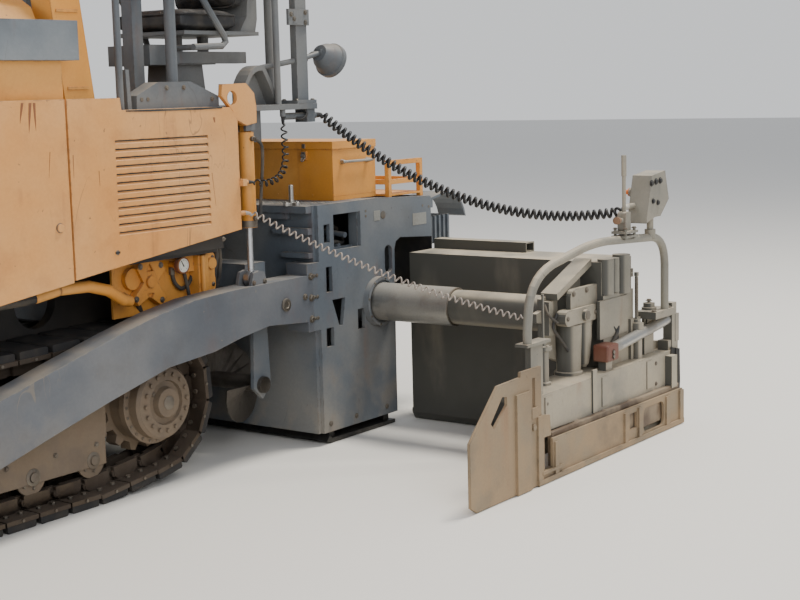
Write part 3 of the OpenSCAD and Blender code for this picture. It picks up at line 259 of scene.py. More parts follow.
def between(tree, value, low, high):
    """0 below low, 1 above high, smooth between."""
    made = put(tree, "MapRange", {"interpolation_type": "SMOOTHSTEP"}, Value=value)
    made.inputs["From Min"].default_value = low
    made.inputs["From Max"].default_value = high
    return made.outputs["Result"]


def noise(tree, where, scale, detail=4.0, stretch=None, warp=0.0):
    """A cloud pattern, stretched along an axis if asked."""
    if stretch:
        where = put(tree, "Mapping", Vector=where, Scale=stretch).outputs["Vector"]
    return put(tree, "TexNoise", Vector=where, Scale=scale, Detail=detail, Distortion=warp).outputs["Fac"]


def moulded(name, colour, dusty, roughness, grain=400.0, dustiness=0.3):
    """Rubber or plastic with a fine grain and a film of dust."""
    made, tree, shader = new_look(name)
    where = put(tree, "TexCoord").outputs["Object"]
    film = between(tree, noise(tree, where, 14.0, 5.0), 0.35, 0.8)
    share = sums(tree, "MULTIPLY", film, dustiness)
    tree.links.new(blend_colour(tree, share, tone(*colour), tone(*dusty)), shader.inputs["Base Color"])
    rough = sums(tree, "ADD", roughness, sums(tree, "MULTIPLY", share, 0.4), clamp=True)
    tree.links.new(rough, shader.inputs["Roughness"])
    raised = put(tree, "Bump", Strength=0.15, Distance=0.0005, Height=noise(tree, where, grain, 2.0))
    tree.links.new(raised.outputs[0], shader.inputs["Normal"])
    return made


def curled(route, outer, wire, pitch, lead_in, lead_out):
    """The centre line of a coiled cable that follows a route, with short straight ends."""
    line = smooth_route(route, 0.004)
    length = [0.0]
    for a, b in zip(line, line[1:]):
        length.append(length[-1] + (b - a).length)
    total = length[-1]
    turns = round((total - lead_in - lead_out) / pitch)
    side = Vector((0.35, -0.45, 0.82))
    places = np.array([list(p) for p in line])
    per_turn, swelling = 16, 20
    steps = turns * per_turn
    out, marks = [], []
    n_in, n_out = max(2, int(lead_in / 0.006)), max(2, int(lead_out / 0.006))
    for k in range(n_in):
        marks.append((lead_in * k / n_in, 0.0, 0.0))
    for k in range(steps + 1):
        s = lead_in + (total - lead_in - lead_out) * k / steps
        grow = min(1.0, k / swelling, (steps - k) / swelling)
        marks.append((s, 2 * math.pi * k / per_turn, grow * grow * (3 - 2 * grow)))
    for k in range(1, n_out + 1):
        marks.append((total - lead_out + lead_out * k / n_out, 0.0, 0.0))
    for s, angle, grow in marks:
        p = Vector([float(np.interp(s, length, places[:, i])) for i in range(3)])
        a = Vector([float(np.interp(max(s - 0.01, 0), length, places[:, i])) for i in range(3)])
        b = Vector([float(np.interp(min(s + 0.01, total), length, places[:, i])) for i in range(3)])
        way = (b - a).normalized()
        side = (side - side.dot(way) * way).normalized()
        reach = (outer - wire) / 2 * grow
        out.append(p + reach * (math.cos(angle) * side + math.sin(angle) * way.cross(side)))
    return out


def hang(start, end, drop, count):
    """Points of a slack stretch between two points."""
    a, b = Vector(start), Vector(end)
    shares = [k / count for k in range(count + 1)]
    return [a + (b - a) * t - Vector((0, 0, drop * 4 * t * (1 - t))) for t in shares]


def cable(name, path, wire, material, body_pair, node, body=None):
    """One stretch of coiled cable, drawn between the bodies that its ends hang from."""
    kept = store()
    add_tube(kept, path, wire / 2, 8)
    made = piece(kept, name, body, material, sharp=80)
    if node:
        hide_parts(node)
    if body_pair:
        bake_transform(made)
    return made


def boot(name, path, wire, body, material):
    """A moulded strain relief that tapers along the first stretch of a cable."""
    kept, near, reach = store(), [path[0]], 0.0
    for a, b in zip(path, path[1:]):
        reach += (Vector(b) - Vector(a)).length
        if reach > 0.045:
            break
        near.append(b)
    radii = [wire * (1.05 - 0.42 * k / (len(near) - 1)) for k in range(len(near))]
    add_tube(kept, near, radii, 12)
    return piece(kept, name, body, material, sharp=50)


cable_black = moulded("cable_black", (24, 24, 25), (96, 90, 80), 0.42, 500.0, 0.25)
cable_grey = moulded("cable_grey", (150, 140, 132), (190, 178, 164), 0.55, 500.0, 0.6)
wire, coil, pitch = 0.0135, 0.051, 0.028
handset_line = [(-1.7553, 1.165, 1.56), (-1.77, 1.165, 1.56)]
handset_line += hang((-1.8, 1.18, 1.555), (-2.44, 2.388, 1.082), 0.17, 22)
handset_line += [(-2.5, 2.402, 1.1), (-2.5197, 2.402, 1.1)]
whole = curled(handset_line, coil, wire, pitch, 0.03, 0.05)
middle = len(whole) * 2 // 5
boot_grey = moulded("boot_grey", (176, 172, 162), (190, 180, 160), 0.5)
boots = [boot("handset_boot_deck", whole, wire, "tractor", cable_black),
         boot("handset_boot_box", whole[::-1], wire, "extension_left", boot_grey)]
cable("handset_cable_upper", whole[:middle + 1], wire, cable_black, ("tractor", "screed"),
      "handset_cord")
cable("handset_cable_lower", whole[middle:], wire, cable_black, ("screed", "extension_left"),
      None)
wire, coil, pitch, thick = 0.0075, 0.032, 0.032, 0.0085
control_line = [(-1.1603, 1.235, 1.15), (-1.172, 1.235, 1.15)]
control_line += hang((-1.215, 1.27, 1.132), (-1.955, 2.14, 0.64), 0.04, 20)
control_line += [(-1.965, 2.19, 0.64), (-1.965, 2.2047, 0.64)]
whole = curled(control_line, coil, wire, pitch, 0.02, 0.02)
middle = len(whole) // 3
boots = [boot("control_boot_panel", whole, thick, "tractor", cable_grey)]
cable("control_cable_upper", whole[:middle + 1], wire, cable_grey, ("tractor", "screed"),
      "control_cord")
cable("control_cable_lower", whole[middle:], wire, cable_grey, ("screed", "extension_left"),
      None)
coil, pitch = 0.034, 0.036
panel_line = [(-1.5, 1.188, 1.5597), (-1.5, 1.188, 1.54), (-1.49, 1.202, 1.45), (-1.45, 1.235, 1.36),
              (-1.38, 1.262, 1.3), (-1.29, 1.268, 1.275), (-1.21, 1.258, 1.28), (-1.18, 1.255, 1.285),
              (-1.1653, 1.255, 1.285)]
whole = curled(panel_line, coil, wire, pitch, 0.02, 0.02)
boots = [boot("panel_boot_top", whole, thick, "tractor", cable_black),
         boot("panel_boot_foot", whole[::-1], thick, "tractor", cable_black)]
cable("panel_cable", whole, wire, cable_black, None, "panel_cord", body="tractor")

# Tracks
# Steel link chains with bolted-on shoes and thick rubber pads, round a toothed drive wheel at the rear, an
# idler at the front and seven small rollers. Everything is brown with dust; only the pads stay black.

# The wheels that the chain's outside goes round, from the rear foot on: X, Z and radius.
BELT = [(-0.42, 0.34, 0.34), (1.65, 0.32, 0.32), (1.88, 0.35, 0.32), (-0.72, 0.375, 0.34)]
SHOES = 44
OUT, UP = (0, 1, 0), (0, 0, 1)


def belt_normal(i):
    """The angle of the outward normal on the straight run after wheel i."""
    a, b = BELT[i % 4], BELT[(i + 1) % 4]
    dx, dz = b[0] - a[0], b[1] - a[1]
    return math.atan2(dz, dx) - math.acos((a[2] - b[2]) / math.hypot(dx, dz))


def belt_parts():
    """The arcs and straight runs of the chain's outside with their lengths."""
    parts = []
    for i in range(4):
        a, b = BELT[i], BELT[(i + 1) % 4]
        sweep = (belt_normal(i) - belt_normal(i - 1)) % (2 * math.pi)
        parts.append(("arc", i, a[2] * sweep))
        parts.append(("line", i, math.sqrt((b[0] - a[0]) ** 2 + (b[1] - a[1]) ** 2 - (a[2] - b[2]) ** 2)))
    return parts


belt_pieces = belt_parts()
belt_length = sum(p[2] for p in belt_pieces)


def on_belt(s):
    """The point on the belt's outside at length s and the angle of its outward normal."""
    s %= belt_length
    for kind, i, size in belt_pieces:
        if s < size:
            x, z, r = BELT[i]
            if kind == "arc":
                a = belt_normal(i - 1) + s / r
                return x + r * math.cos(a), z + r * math.sin(a), a
            a = belt_normal(i)
            return x + r * math.cos(a) - s * math.sin(a), z + r * math.sin(a) + s * math.cos(a), a
        s -= size


def add_turned(kept, start, direction, profile, sides=24, ring=False):
    """A turned part: profile holds (distance along the axis, radius)."""
    side, other, axis = frame_of(direction)
    points = []
    for along, radius in profile:
        points += circle(Vector(start) + along * axis, side, other, radius, sides)
    add_skin(kept, points, sides, ring)


def add_bolt(kept, place, direction, radius, height=None):
    """A hexagon head on a washer."""
    height = height or radius * 0.75
    add_turned(kept, place, direction, [(0, radius * 1.35), (radius * 0.2, radius * 1.35)], 14)
    add_turned(kept, place, direction, [(0, radius), (height * 0.85, radius), (height, radius * 0.86)], 6)


def around(x, z, reach, count, phase=0.0):
    """Places spaced evenly round a circle."""
    angles = [2 * math.pi * k / count + phase for k in range(count)]
    return [(x + reach * math.cos(a), z + reach * math.sin(a)) for a in angles]


def bolts_out(kept, y, places, radius, height=None):
    """A bolt at each (x, z), standing outwards from the face at y."""
    for x, z in places:
        add_bolt(kept, (x, y, z), OUT, radius, height)


def mirrored(kept):
    """The same parts on the machine's other side."""
    other = store()
    other["points"] = [(x, -y, z) for x, y, z in kept["points"]]
    other["faces"] = [tuple(reversed(f)) for f in kept["faces"]]
    return other


def both_sides(kept):
    """The parts of a store and their mirror image in one store."""
    made = store()
    gather(made, kept["points"], kept["faces"])
    back = mirrored(kept)
    gather(made, back["points"], back["faces"])
    return made


def finish(material, *nodes):
    """Gives solids of the frame their finish."""
    for name in nodes:
        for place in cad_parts[name].material_slots:
            place.material = material


def group(name, inputs, outputs):
    """A shader group with its outlets inside and its inlets at the end."""
    tree = bpy.data.node_groups.new(name, "ShaderNodeTree")
    for label, kind, value in inputs:
        tree.interface.new_socket(label, in_out="INPUT",
                                  socket_type="NodeSocket" + kind).default_value = value
    for label, kind in outputs:
        tree.interface.new_socket(label, in_out="OUTPUT", socket_type="NodeSocket" + kind)
    return tree, tree.nodes.new("NodeGroupInput").outputs, tree.nodes.new("NodeGroupOutput").inputs


def tools_for(tree):
    """Short forms of the shader steps for one tree, with patterns laid over the piece's own place."""
    spot = put(tree, "TexCoord").outputs["Object"]

    def times(first, second):
        return sums(tree, "MULTIPLY", first, second)

    def part(value, low, high):
        return between(tree, value, low, high)

    def grain(scale, detail, stretch=None, warp=0.0):
        return noise(tree, spot, scale, detail, stretch, warp)

    def over(share, first, second, way="MIX"):
        return blend_colour(tree, share, first, second, way)
    return spot, times, part, grain, over


def weathered_paint():
    """Paint faded in clouds, scratched, chipped at its edges, streaked with rust and dusty on top."""
    tree, given, result = group("weathered_paint", [
        ("Colour", "Color", (0.5, 0.5, 0.5, 1)), ("Faded", "Color", (0.6, 0.6, 0.6, 1)),
        ("Bare", "Color", (0.1, 0.08, 0.06, 1)), ("Rust", "Color", (0.25, 0.1, 0.04, 1)),
        ("Dust", "Color", (0.5, 0.43, 0.33, 1)), ("Wear", "Float", 0.5), ("Streaks", "Float", 0.3),
        ("Scratches", "Float", 0.3), ("Dustiness", "Float", 0.4), ("Ground dirt", "Float", 0.3),
    ], [("Color", "Color"), ("Roughness", "Float"), ("Height", "Float")])
    spot, times, part, grain, over = tools_for(tree)
    clouds = grain(1.6, 7.0)
    patches = grain(7.0, 6.0)
    grit = grain(90.0, 4.0)
    colour = over(part(clouds, 0.38, 0.66), given["Colour"], given["Faded"])
    dark = over(1.0, colour, (0.72, 0.7, 0.68, 1), "MULTIPLY")
    colour = over(times(part(patches, 0.5, 0.72), 0.45), colour, dark)
    # Thin marks: contour lines of a noise that is stretched along the height, kept only in some patches.
    line = sums(tree, "ABSOLUTE", sums(tree, "SUBTRACT", grain(5.0, 3.0, (1.0, 1.0, 0.22), 0.6), 0.5))
    line = sums(tree, "SUBTRACT", 1.0, part(line, 0.0006, 0.0035))
    marks = times(times(line, part(grain(2.3, 2.0), 0.5, 0.62)), given["Scratches"])
    colour = over(marks, colour, given["Bare"])
    scrape = grain(26.0, 2.0, (0.25, 0.25, 1.4), 0.3)
    scrape = times(part(scrape, 0.66, 0.7), part(clouds, 0.5, 0.6))
    colour = over(times(scrape, given["Scratches"]), colour, given["Faded"])
    # Rust that runs down.
    tears = grain(11.0, 4.0, (1.0, 1.0, 0.09))
    tears = times(part(tears, 0.56, 0.75), part(patches, 0.42, 0.6))
    colour = over(times(tears, given["Streaks"]), colour, given["Rust"])
    # Edges: where a rounded normal leaves the true one.
    round_off = put(tree, "Bevel", {"samples": 4}, Radius=0.012).outputs[0]
    true_normal = put(tree, "NewGeometry").outputs["Normal"]
    alike = put(tree, "VectorMath", {"operation": "DOT_PRODUCT"}, n0=round_off,
                n1=true_normal).outputs["Value"]
    rim = part(sums(tree, "SUBTRACT", 1.0, alike), 0.02, 0.16)
    rim = times(times(rim, part(grain(24.0, 5.0), 0.47, 0.6)), given["Wear"])
    pits = times(part(grain(38.0, 3.0), 0.72, 0.76), given["Wear"])
    bare = sums(tree, "MAXIMUM", rim, pits)
    colour = over(bare, colour, given["Bare"])
    # Dust on what faces up, and splashes near the ground.
    upright = put(tree, "SeparateXYZ", Vector=true_normal).outputs["Z"]
    height = put(tree, "SeparateXYZ", Vector=spot).outputs["Z"]
    top = times(times(part(upright, 0.3, 0.95), part(patches, 0.25, 0.7)), given["Dustiness"])
    film = times(part(clouds, 0.4, 0.75), times(given["Dustiness"], 0.35))
    low = sums(tree, "SUBTRACT", 1.0, part(height, 0.05, 0.75))
    low = times(times(low, part(patches, 0.3, 0.62)), given["Ground dirt"])
    dust = sums(tree, "MAXIMUM", sums(tree, "MAXIMUM", top, film), low)
    colour = over(dust, colour, given["Dust"])
    colour = over(0.12, colour, over(grit, (0.35, 0.35, 0.35, 1), (1.3, 1.3, 1.3, 1)), "OVERLAY")
    rough = sums(tree, "ADD", 0.42, times(patches, 0.2))
    rough = sums(tree, "ADD", rough, times(dust, 0.35), clamp=True)
    bump = sums(tree, "ADD", sums(tree, "SUBTRACT", times(grit, 0.15), bare), times(clouds, 2.0))
    for label, value in (("Color", colour), ("Roughness", rough), ("Height", bump)):
        tree.links.new(value, result[label])
    return tree


def worn_metal():
    """Metal that is dull where dust or asphalt film sits on it, brighter where it slides or is handled."""
    tree, given, result = group("worn_metal", [
        ("Colour", "Color", (0.5, 0.5, 0.5, 1)), ("Stain", "Color", (0.2, 0.14, 0.1, 1)),
        ("Film", "Color", (0.4, 0.36, 0.3, 1)), ("Staining", "Float", 0.3), ("Filming", "Float", 0.3),
        ("Grain", "Float", 1.0),
    ], [("Color", "Color"), ("Roughness", "Float"), ("Height", "Float"), ("Metallic", "Float")])
    spot, times, part, grain, over = tools_for(tree)
    patches = grain(9.0, 7.0)
    fine = grain(120.0, 3.0)
    colour = over(times(fine, 0.35), given["Colour"], (0.02, 0.02, 0.02, 1))
    spots = times(part(patches, 0.46, 0.66), given["Staining"])
    colour = over(spots, colour, given["Stain"])
    upright = put(tree, "SeparateXYZ", Vector=put(tree, "NewGeometry").outputs["Normal"]).outputs["Z"]
    film = sums(tree, "ADD", part(grain(2.2, 5.0), 0.35, 0.7), part(upright, 0.2, 0.9))
    film = sums(tree, "MULTIPLY", film, given["Filming"], clamp=True)
    colour = over(film, colour, given["Film"])
    cover = sums(tree, "MAXIMUM", film, spots)
    rough = sums(tree, "ADD", 0.28, times(cover, 0.55), clamp=True)
    rough = sums(tree, "ADD", rough, times(patches, 0.12), clamp=True)
    bump = times(sums(tree, "ADD", fine, times(patches, 2.0)), given["Grain"])
    shine = sums(tree, "SUBTRACT", 1.0, cover, clamp=True)
    for label, value in (("Color", colour), ("Roughness", rough), ("Height", bump), ("Metallic", shine)):
        tree.links.new(value, result[label])
    return tree


weathered = weathered_paint()
worn = worn_metal()


def grouped(tree, kind, values):
    """A node for a shader group, with these values on its inlets."""
    made = tree.nodes.new("ShaderNodeGroup")
    made.node_tree = kind
    for label, value in values.items():
        made.inputs[label].default_value = value
    return made


def relief(tree, shader, height, strength, distance, rounding):
    """Fine bumps over softly rounded edges."""
    raised = put(tree, "Bump", Strength=strength, Distance=distance, Height=height)
    soft = put(tree, "Bevel", {"samples": 3}, Radius=rounding)
    tree.links.new(soft.outputs[0], raised.inputs["Normal"])
    tree.links.new(raised.outputs[0], shader.inputs["Normal"])


def painted(name, colour, faded, wear=0.5, streaks=0.3, scratches=0.3, dust=0.35, dirt=0.3,
            bare=(58, 50, 44), dust_tone=(168, 152, 128), front=None, other=None):
    """Painted steel with so much of each kind of ageing, a darker film on the faces that look forward,
    which is asphalt film and painted shade, and another colour ahead of some place along the machine."""
    made, tree, shader = new_look(name)
    age = grouped(tree, weathered, {
        "Colour": tone(*colour), "Faded": tone(*faded), "Bare": tone(*bare), "Rust": tone(112, 70, 44),
        "Dust": tone(*dust_tone), "Wear": wear, "Streaks": streaks, "Scratches": scratches,
        "Dustiness": dust, "Ground dirt": dirt})
    if other:
        along = put(tree, "SeparateXYZ", Vector=put(tree, "TexCoord").outputs["Object"]).outputs["X"]
        share = between(tree, along, other[0] - 0.001, other[0] + 0.001)
        for label, first, second in (("Colour", colour, other[1]), ("Faded", faded, other[2])):
            tree.links.new(blend_colour(tree, share, tone(*first), tone(*second)), age.inputs[label])
    shown = age.outputs["Color"]
    # Faces that look forward get a darker film: asphalt film and painted shade.
    if front:
        spot = put(tree, "TexCoord").outputs
        ahead_part = put(tree, "SeparateXYZ", Vector=spot["Normal"]).outputs["X"]
        film_and_shade_smear = noise(tree, spot["Object"], 3.0, 6.0, (1.0, 1.0, 0.35))
        share = sums(tree, "MULTIPLY", between(tree, ahead_part, 0.55, 0.85),
                     between(tree, film_and_shade_smear, 0.12, 0.42))
        shown = blend_colour(tree, share, shown, tone(*front))
    tree.links.new(shown, shader.inputs["Base Color"])
    tree.links.new(age.outputs["Roughness"], shader.inputs["Roughness"])
    relief(tree, shader, age.outputs["Height"], 0.35, 0.0012, 0.003)
    return made


def bare_metal(name, colour, stain, film, staining=0.3, filming=0.3, grain=1.0):
    """Unpainted steel with this much stain, film and grain."""
    made, tree, shader = new_look(name)
    use = grouped(tree, worn, {"Colour": tone(*colour), "Stain": tone(*stain), "Film": tone(*film),
                               "Staining": staining, "Filming": filming, "Grain": grain})
    for label, inlet in (("Color", "Base Color"), ("Roughness", "Roughness"), ("Metallic", "Metallic")):
        tree.links.new(use.outputs[label], shader.inputs[inlet])
    relief(tree, shader, use.outputs["Height"], 0.3, 0.001, 0.002)
    return made


def shoe_parts(kept_iron, kept_rubber, kept_bolts, middle):
    """Every shoe of one track with its rubber pad, link plates, pin and bolts."""
    pitch = belt_length / SHOES
    for k in range(SHOES):
        x, z, a = on_belt((k + 0.02) * pitch)
        out, along = Vector((math.cos(a), 0, math.sin(a))), Vector((-math.sin(a), 0, math.cos(a)))
        at = Vector((x, middle, z))

        def spot_at(t, y, d):
            return at + along * t + Vector((0, y, 0)) + out * d

        def block(kept, t0, t1, y0, y1, d0, d1, c=0.0):
            ring = [(t0 + c, d1), (t1 - c, d1), (t1, d1 - c), (t1, d0), (t0, d0), (t0, d1 - c)]
            points = [spot_at(t, y0, d) for t, d in ring] + [spot_at(t, y1, d) for t, d in ring]
            for point in points:
                point.z = max(point.z, 0.0)
            n = len(ring)
            faces = [tuple(range(n)), tuple(range(2 * n - 1, n - 1, -1))]
            faces += [(i, n + i, n + (i + 1) % n, (i + 1) % n) for i in range(n)]
            gather(kept, points, faces)
        h = pitch / 2
        block(kept_iron, -h * 0.95, h * 0.95, -0.148, 0.148, -0.05, -0.032)
        block(kept_rubber, -h * 0.86, h * 0.86, -0.142, 0.142, -0.034, -0.001, 0.006)
        for y in (-0.036, 0.036):
            block(kept_iron, -h * 1.06, h * 0.55, y - 0.009, y + 0.009, -0.108, -0.05, 0.02)
            block(kept_iron, -h * 0.55, h * 1.06, y * 1.55 - 0.009, y * 1.55 + 0.009, -0.108, -0.05, 0.02)
        add_turned(kept_iron, spot_at(h, -0.062, -0.078), OUT, [(0, 0.016), (0.124, 0.016)], 10)
        for y in (-0.09, 0.09):
            for t in (-h * 0.45, h * 0.45):
                add_turned(kept_bolts, spot_at(t, y, -0.05), -out, [(0, 0.011), (0.009, 0.011)], 6)
        for way in (-1, 1):
            add_turned(kept_bolts, spot_at(0, 0.151 * way, -0.041), (0, way, 0),
                       [(0, 0.007), (0.0025, 0.007)], 6)


track_iron = bare_metal("track_iron", (92, 82, 72), (58, 44, 34), (84, 72, 60), 0.6, 0.75)
bolt_steel = bare_metal("bolt_steel", (130, 124, 114), (80, 58, 42), (120, 108, 92), 0.5, 0.5)
pad_rubber = moulded("pad_rubber", (34, 33, 33), (84, 76, 66), 0.75, 300.0, 0.45)
hub_paint = painted("hub_brown", (90, 78, 65), (106, 92, 76), wear=0.45, streaks=0.3, scratches=0.1,
                    dust=0.7, dirt=0.6, dust_tone=(128, 110, 88))
for side, name in ((1, "left"), (-1, "right")):
    iron, rubber, bolts = store(), store(), store()
    shoe_parts(iron, rubber, bolts, 0.95 * side)
    chain = piece(iron, "track_chain_" + name, "tractor", track_iron)
    piece(rubber, "track_pads_" + name, "tractor", pad_rubber, edge=0.002)
    piece(bolts, "shoe_bolts_" + name, "tractor", bolt_steel)
    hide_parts("track_" + name)
finish(hub_paint, "track_rollers", "track_frames", "drive_sprockets")
hub = store()
drive_x, drive_z = BELT[3][:2]
bolts_out(hub, 1.1005, around(drive_x, drive_z, 0.142, 16), 0.008, 0.008)
for x, z in around(drive_x, drive_z, 0.171, 24):
    add_turned(hub, (x, 1.078, z), OUT, [(0, 0.006), (0.005, 0.006)], 6)
add_turned(hub, (drive_x, 1.1595, drive_z), OUT, [(0, 0.03), (0.003, 0.03), (0.006, 0.024), (0.009, 0.01)],
           24)
add_bolt(hub, (-0.655, 1.131, 0.42), OUT, 0.009, 0.01)
for x in (-0.4, -0.08, 0.24, 0.56, 0.88, 1.2, 1.52):
    add_turned(hub, (x, 1.017, 0.1773), OUT, [(0, 0.036), (0.012, 0.036), (0.015, 0.022), (0.022, 0.02),
                                              (0.024, 0.008)], 24)
    bolts_out(hub, 1.0145, around(x, 0.1773, 0.05, 6, 0.3), 0.006, 0.005)
bolts_out(hub, 1.0285, [(x, 0.24) for x in (-0.42, -0.2, 0.05, 0.3, 0.55, 0.8, 1.05, 1.3, 1.5)], 0.009)
bolts_out(hub, 1.0285, [(-0.38, 0.43), (1.45, 0.43)], 0.012)
piece(both_sides(hub), "hub_and_roller_bolts", "tractor", bolt_steel)

# Main frame
# Welded plate, painted black, with the engine block inside; grease, dust and oil cover most of it. A dial,
# hoses and bolted covers sit on the orange panel below the side doors.


def add_slab(kept, outline, flat, low, high):
    """A flat plate: outline in the plane across axis flat (0 X, 1 Y, 2 Z), thick from low to high."""
    def at(p, h):
        q = list(p)
        q.insert(flat, h)
        return tuple(q)
    n = len(outline)
    points = [at(p, low) for p in outline] + [at(p, high) for p in outline]
    area = sum(a[0] * b[1] - b[0] * a[1] for a, b in zip(outline, outline[1:] + outline[:1]))
    turns = (area > 0) == (flat != 1)
    base = tuple(range(n))
    faces = [base[::-1] if turns else base, tuple(n + i for i in (base if turns else base[::-1]))]
    for i in range(n):
        j = (i + 1) % n
        faces.append((i, j, n + j, n + i) if turns else (j, i, n + i, n + j))
    gather(kept, points, faces)


def add_hoses(kept, runs, step, sides=10):
    """Hoses or wires, each given by its route and its radius."""
    for points, radius in runs:
        add_tube(kept, smooth_route(points, step), radius, sides)


frame_paint = painted("frame_black", (36, 36, 36), (52, 50, 47), wear=0.3, streaks=0.2, scratches=0.2,
                      dust=0.45, dirt=0.6, dust_tone=(120, 104, 84))
cast_paint = painted("fresh_orange", (206, 136, 54), (214, 150, 72), wear=0.5, streaks=0.35, scratches=0.25,
                     dust=0.3, dirt=0.1)
hose_black = moulded("hose_black", (40, 39, 38), (120, 108, 90), 0.6, 500.0, 0.6)
finish(frame_paint, "main_frame", "engine_block", "conveyor")
finish(cast_paint, "side_machinery")
works = store()
gauge = (-0.905, 1.082, 0.94)
add_turned(works, gauge, OUT, [(0, 0.037), (0.02, 0.037), (0.024, 0.034), (0.024, 0.031), (0.0215, 0.03)],
           32)
gauge_brown = painted("gauge_brown", (112, 62, 44), (140, 86, 60), dust=0.4)
piece(works, "gauge_ring", "tractor", gauge_brown)
dial = store()
add_turned(dial, (-0.905, 1.1035, 0.94), OUT, [(0, 0.0298), (0.0006, 0.0298)], 32)
dial_white = moulded("dial_white", (222, 219, 208), (176, 168, 150), 0.35, 200.0, 0.2)
piece(dial, "gauge_dial", "tractor", dial_white)
marks = store()
for k in range(21):
    a = math.radians(225 - k * 13.5)
    c, s = math.cos(a), math.sin(a)
    ends = [(0.019 if k % 5 == 0 else 0.022, -0.0006), (0.026, -0.0006)]
    ends += [(reach, -across) for reach, across in reversed(ends)]
    stroke = [(-0.905 + reach * c + across * s, 0.94 + reach * s - across * c) for reach, across in ends]
    add_slab(marks, stroke, 1, 1.1041, 1.1046)
add_slab(marks, [(-0.909, 0.935), (-0.902, 0.934), (-0.889, 0.961), (-0.891, 0.962)], 1, 1.1046, 1.1056)
piece(marks, "gauge_marks", "tractor", hose_black)
lines = store()
add_hoses(lines, (
    ([(-0.905, 1.03, 0.905), (-0.915, 1.035, 0.86), (-0.95, 1.04, 0.83), (-1.0, 1.035, 0.845),
      (-1.03, 1.03, 0.88)], 0.009),
    ([(-1.05, 1.05, 0.765), (-1.05, 1.052, 0.70), (-1.06, 1.04, 0.64), (-1.02, 1.0, 0.58)], 0.012),
    ([(-1.135, 1.03, 0.965), (-1.16, 1.045, 1.0), (-1.165, 1.055, 0.96), (-1.15, 1.055, 0.88),
      (-1.155, 1.04, 0.78), (-1.14, 1.0, 0.68)], 0.011),
    ([(-1.14, 1.0, 0.99), (-1.18, 1.02, 1.03), (-1.19, 1.05, 0.97), (-1.18, 1.05, 0.86),
      (-1.17, 1.0, 0.74)], 0.010),
    ([(-0.98, 1.03, 0.9), (-0.97, 1.06, 0.82), (-0.99, 1.05, 0.75), (-1.05, 1.0, 0.7)], 0.008),
    ([(-0.69, 1.03, 0.80), (-0.75, 1.0, 0.74), (-0.9, 0.95, 0.70)], 0.013),
    ([(0.9, 1.1, 0.96), (0.5, 1.12, 0.9), (0.1, 1.125, 0.905), (-0.06, 1.12, 0.906)], 0.024),
), 0.012)
piece(both_sides(lines), "under_panel_hoses", "tractor", hose_black)
ends = store()
add_turned(ends, (-1.05, 1.05, 0.775), (0, 0, -1), [(0, 0.017), (0.03, 0.017)], 6)
add_turned(ends, (-0.905, 1.03, 0.908), (0, 0, -1), [(-0.02, 0.014), (0.012, 0.014)], 6)
bolts_out(ends, 1.0595, ((-0.81, 0.8), (-0.66, 0.82), (-0.69, 0.955), (-0.81, 0.95)), 0.010)
bolts_out(ends, 1.0615, ((-1.13, 0.83), (-1.07, 0.83), (-1.13, 0.95), (-1.07, 0.95)), 0.008)
piece(both_sides(ends), "hose_ends_and_bolts", "tractor", bolt_steel)

# Side panels and doors
# Folded sheet steel in faded orange, with a louvre field and rolled edges, held by quarter-turn latches.
# Rust has run down from the top seam, and tools have scratched it.


def add_box(kept, low, high):
    """A block between two corners."""
    (a, b, c), (d, e, f) = low, high
    points = [(x, y, z) for x in (a, d) for y in (b, e) for z in (c, f)]
    gather(kept, points, [(0, 1, 3, 2), (4, 6, 7, 5), (0, 4, 5, 1), (2, 3, 7, 6), (0, 2, 6, 4),
                          (1, 5, 7, 3)])


panel_paint = painted("panel_orange", (202, 138, 72), (208, 150, 90), wear=0.55, streaks=0.55,
                      scratches=0.5, dust=0.3, dirt=0.1)
finish(panel_paint, "rear_panels", "side_door_left", "side_door_right")
trim = store()
for x, z in ((-0.387, 1.055), (-1.005, 1.05)):
    add_turned(trim, (x, 1.2495, z), OUT, [(0, 0.010), (0.002, 0.010), (0.003, 0.007)], 16)
piece(both_sides(trim), "panel_latches", "tractor", bolt_steel)
painted_shade_strips = store()
# Painted shade: a black slab in each latch key slot stands for the shade in its recess.
for x, z in ((-0.387, 1.055), (-1.005, 1.05)):
    add_box(painted_shade_strips, (x - 0.012, 1.2505, z - 0.004), (x + 0.012, 1.2532, z + 0.004))
# Painted shade: a black strip in each louvre gap.
for k in range(12):
    add_box(painted_shade_strips, (-0.935, 1.2362, 1.1292 + k * 0.033), (-0.403, 1.2432, 1.1348 + k * 0.033))
# Painted shade: a thin black strip along the panel's top, under the deck box bracket.
add_slab(painted_shade_strips, [(-0.6, 1.606), (-0.47, 1.609), (-0.47, 1.614), (-1.03, 1.6145), (-1.03, 1.6085),
                 (-0.9, 1.606)], 1, 1.2501, 1.2516)
piece(both_sides(painted_shade_strips), "painted_shade_slots_and_gaps", "tractor", hose_black)
for side, name in ((1, "left"), (-1, "right")):
    latch = store()
    knob = [(0, 0.019), (0.003, 0.019), (0.004, 0.016)]
    add_turned(latch, (-0.098, 1.2495 * side, 1.179), (0, side, 0), knob, 24)
    piece(latch, "door_latch_" + name, "side_door_" + name, bolt_steel)
drips, marks = store(), store()
for (top_x, top_z), (tip_x, tip_z), width in (((0.049, 1.655), (0.065, 1.578), 0.006),
                                              ((0.012, 1.654), (0.025, 1.54), 0.007),
                                              ((-0.007, 1.654), (-0.009, 1.55), 0.006)):
    half_x, half_z = (top_x + tip_x) / 2, (top_z + tip_z) / 2
    drip = [(top_x - width, top_z), (top_x + width, top_z), (half_x + width * 0.7, half_z), (tip_x, tip_z),
            (half_x - width * 0.6, half_z)]
    add_slab(drips, drip, 1, 1.2501, 1.2505)
scratch = [(-0.07 - 0.0016, 1.469), (-0.07 + 0.0016, 1.469), (-0.058 + 0.0004, 1.372),
           (-0.058 - 0.0004, 1.372)]
add_slab(drips, scratch, 1, 1.2501, 1.2504)
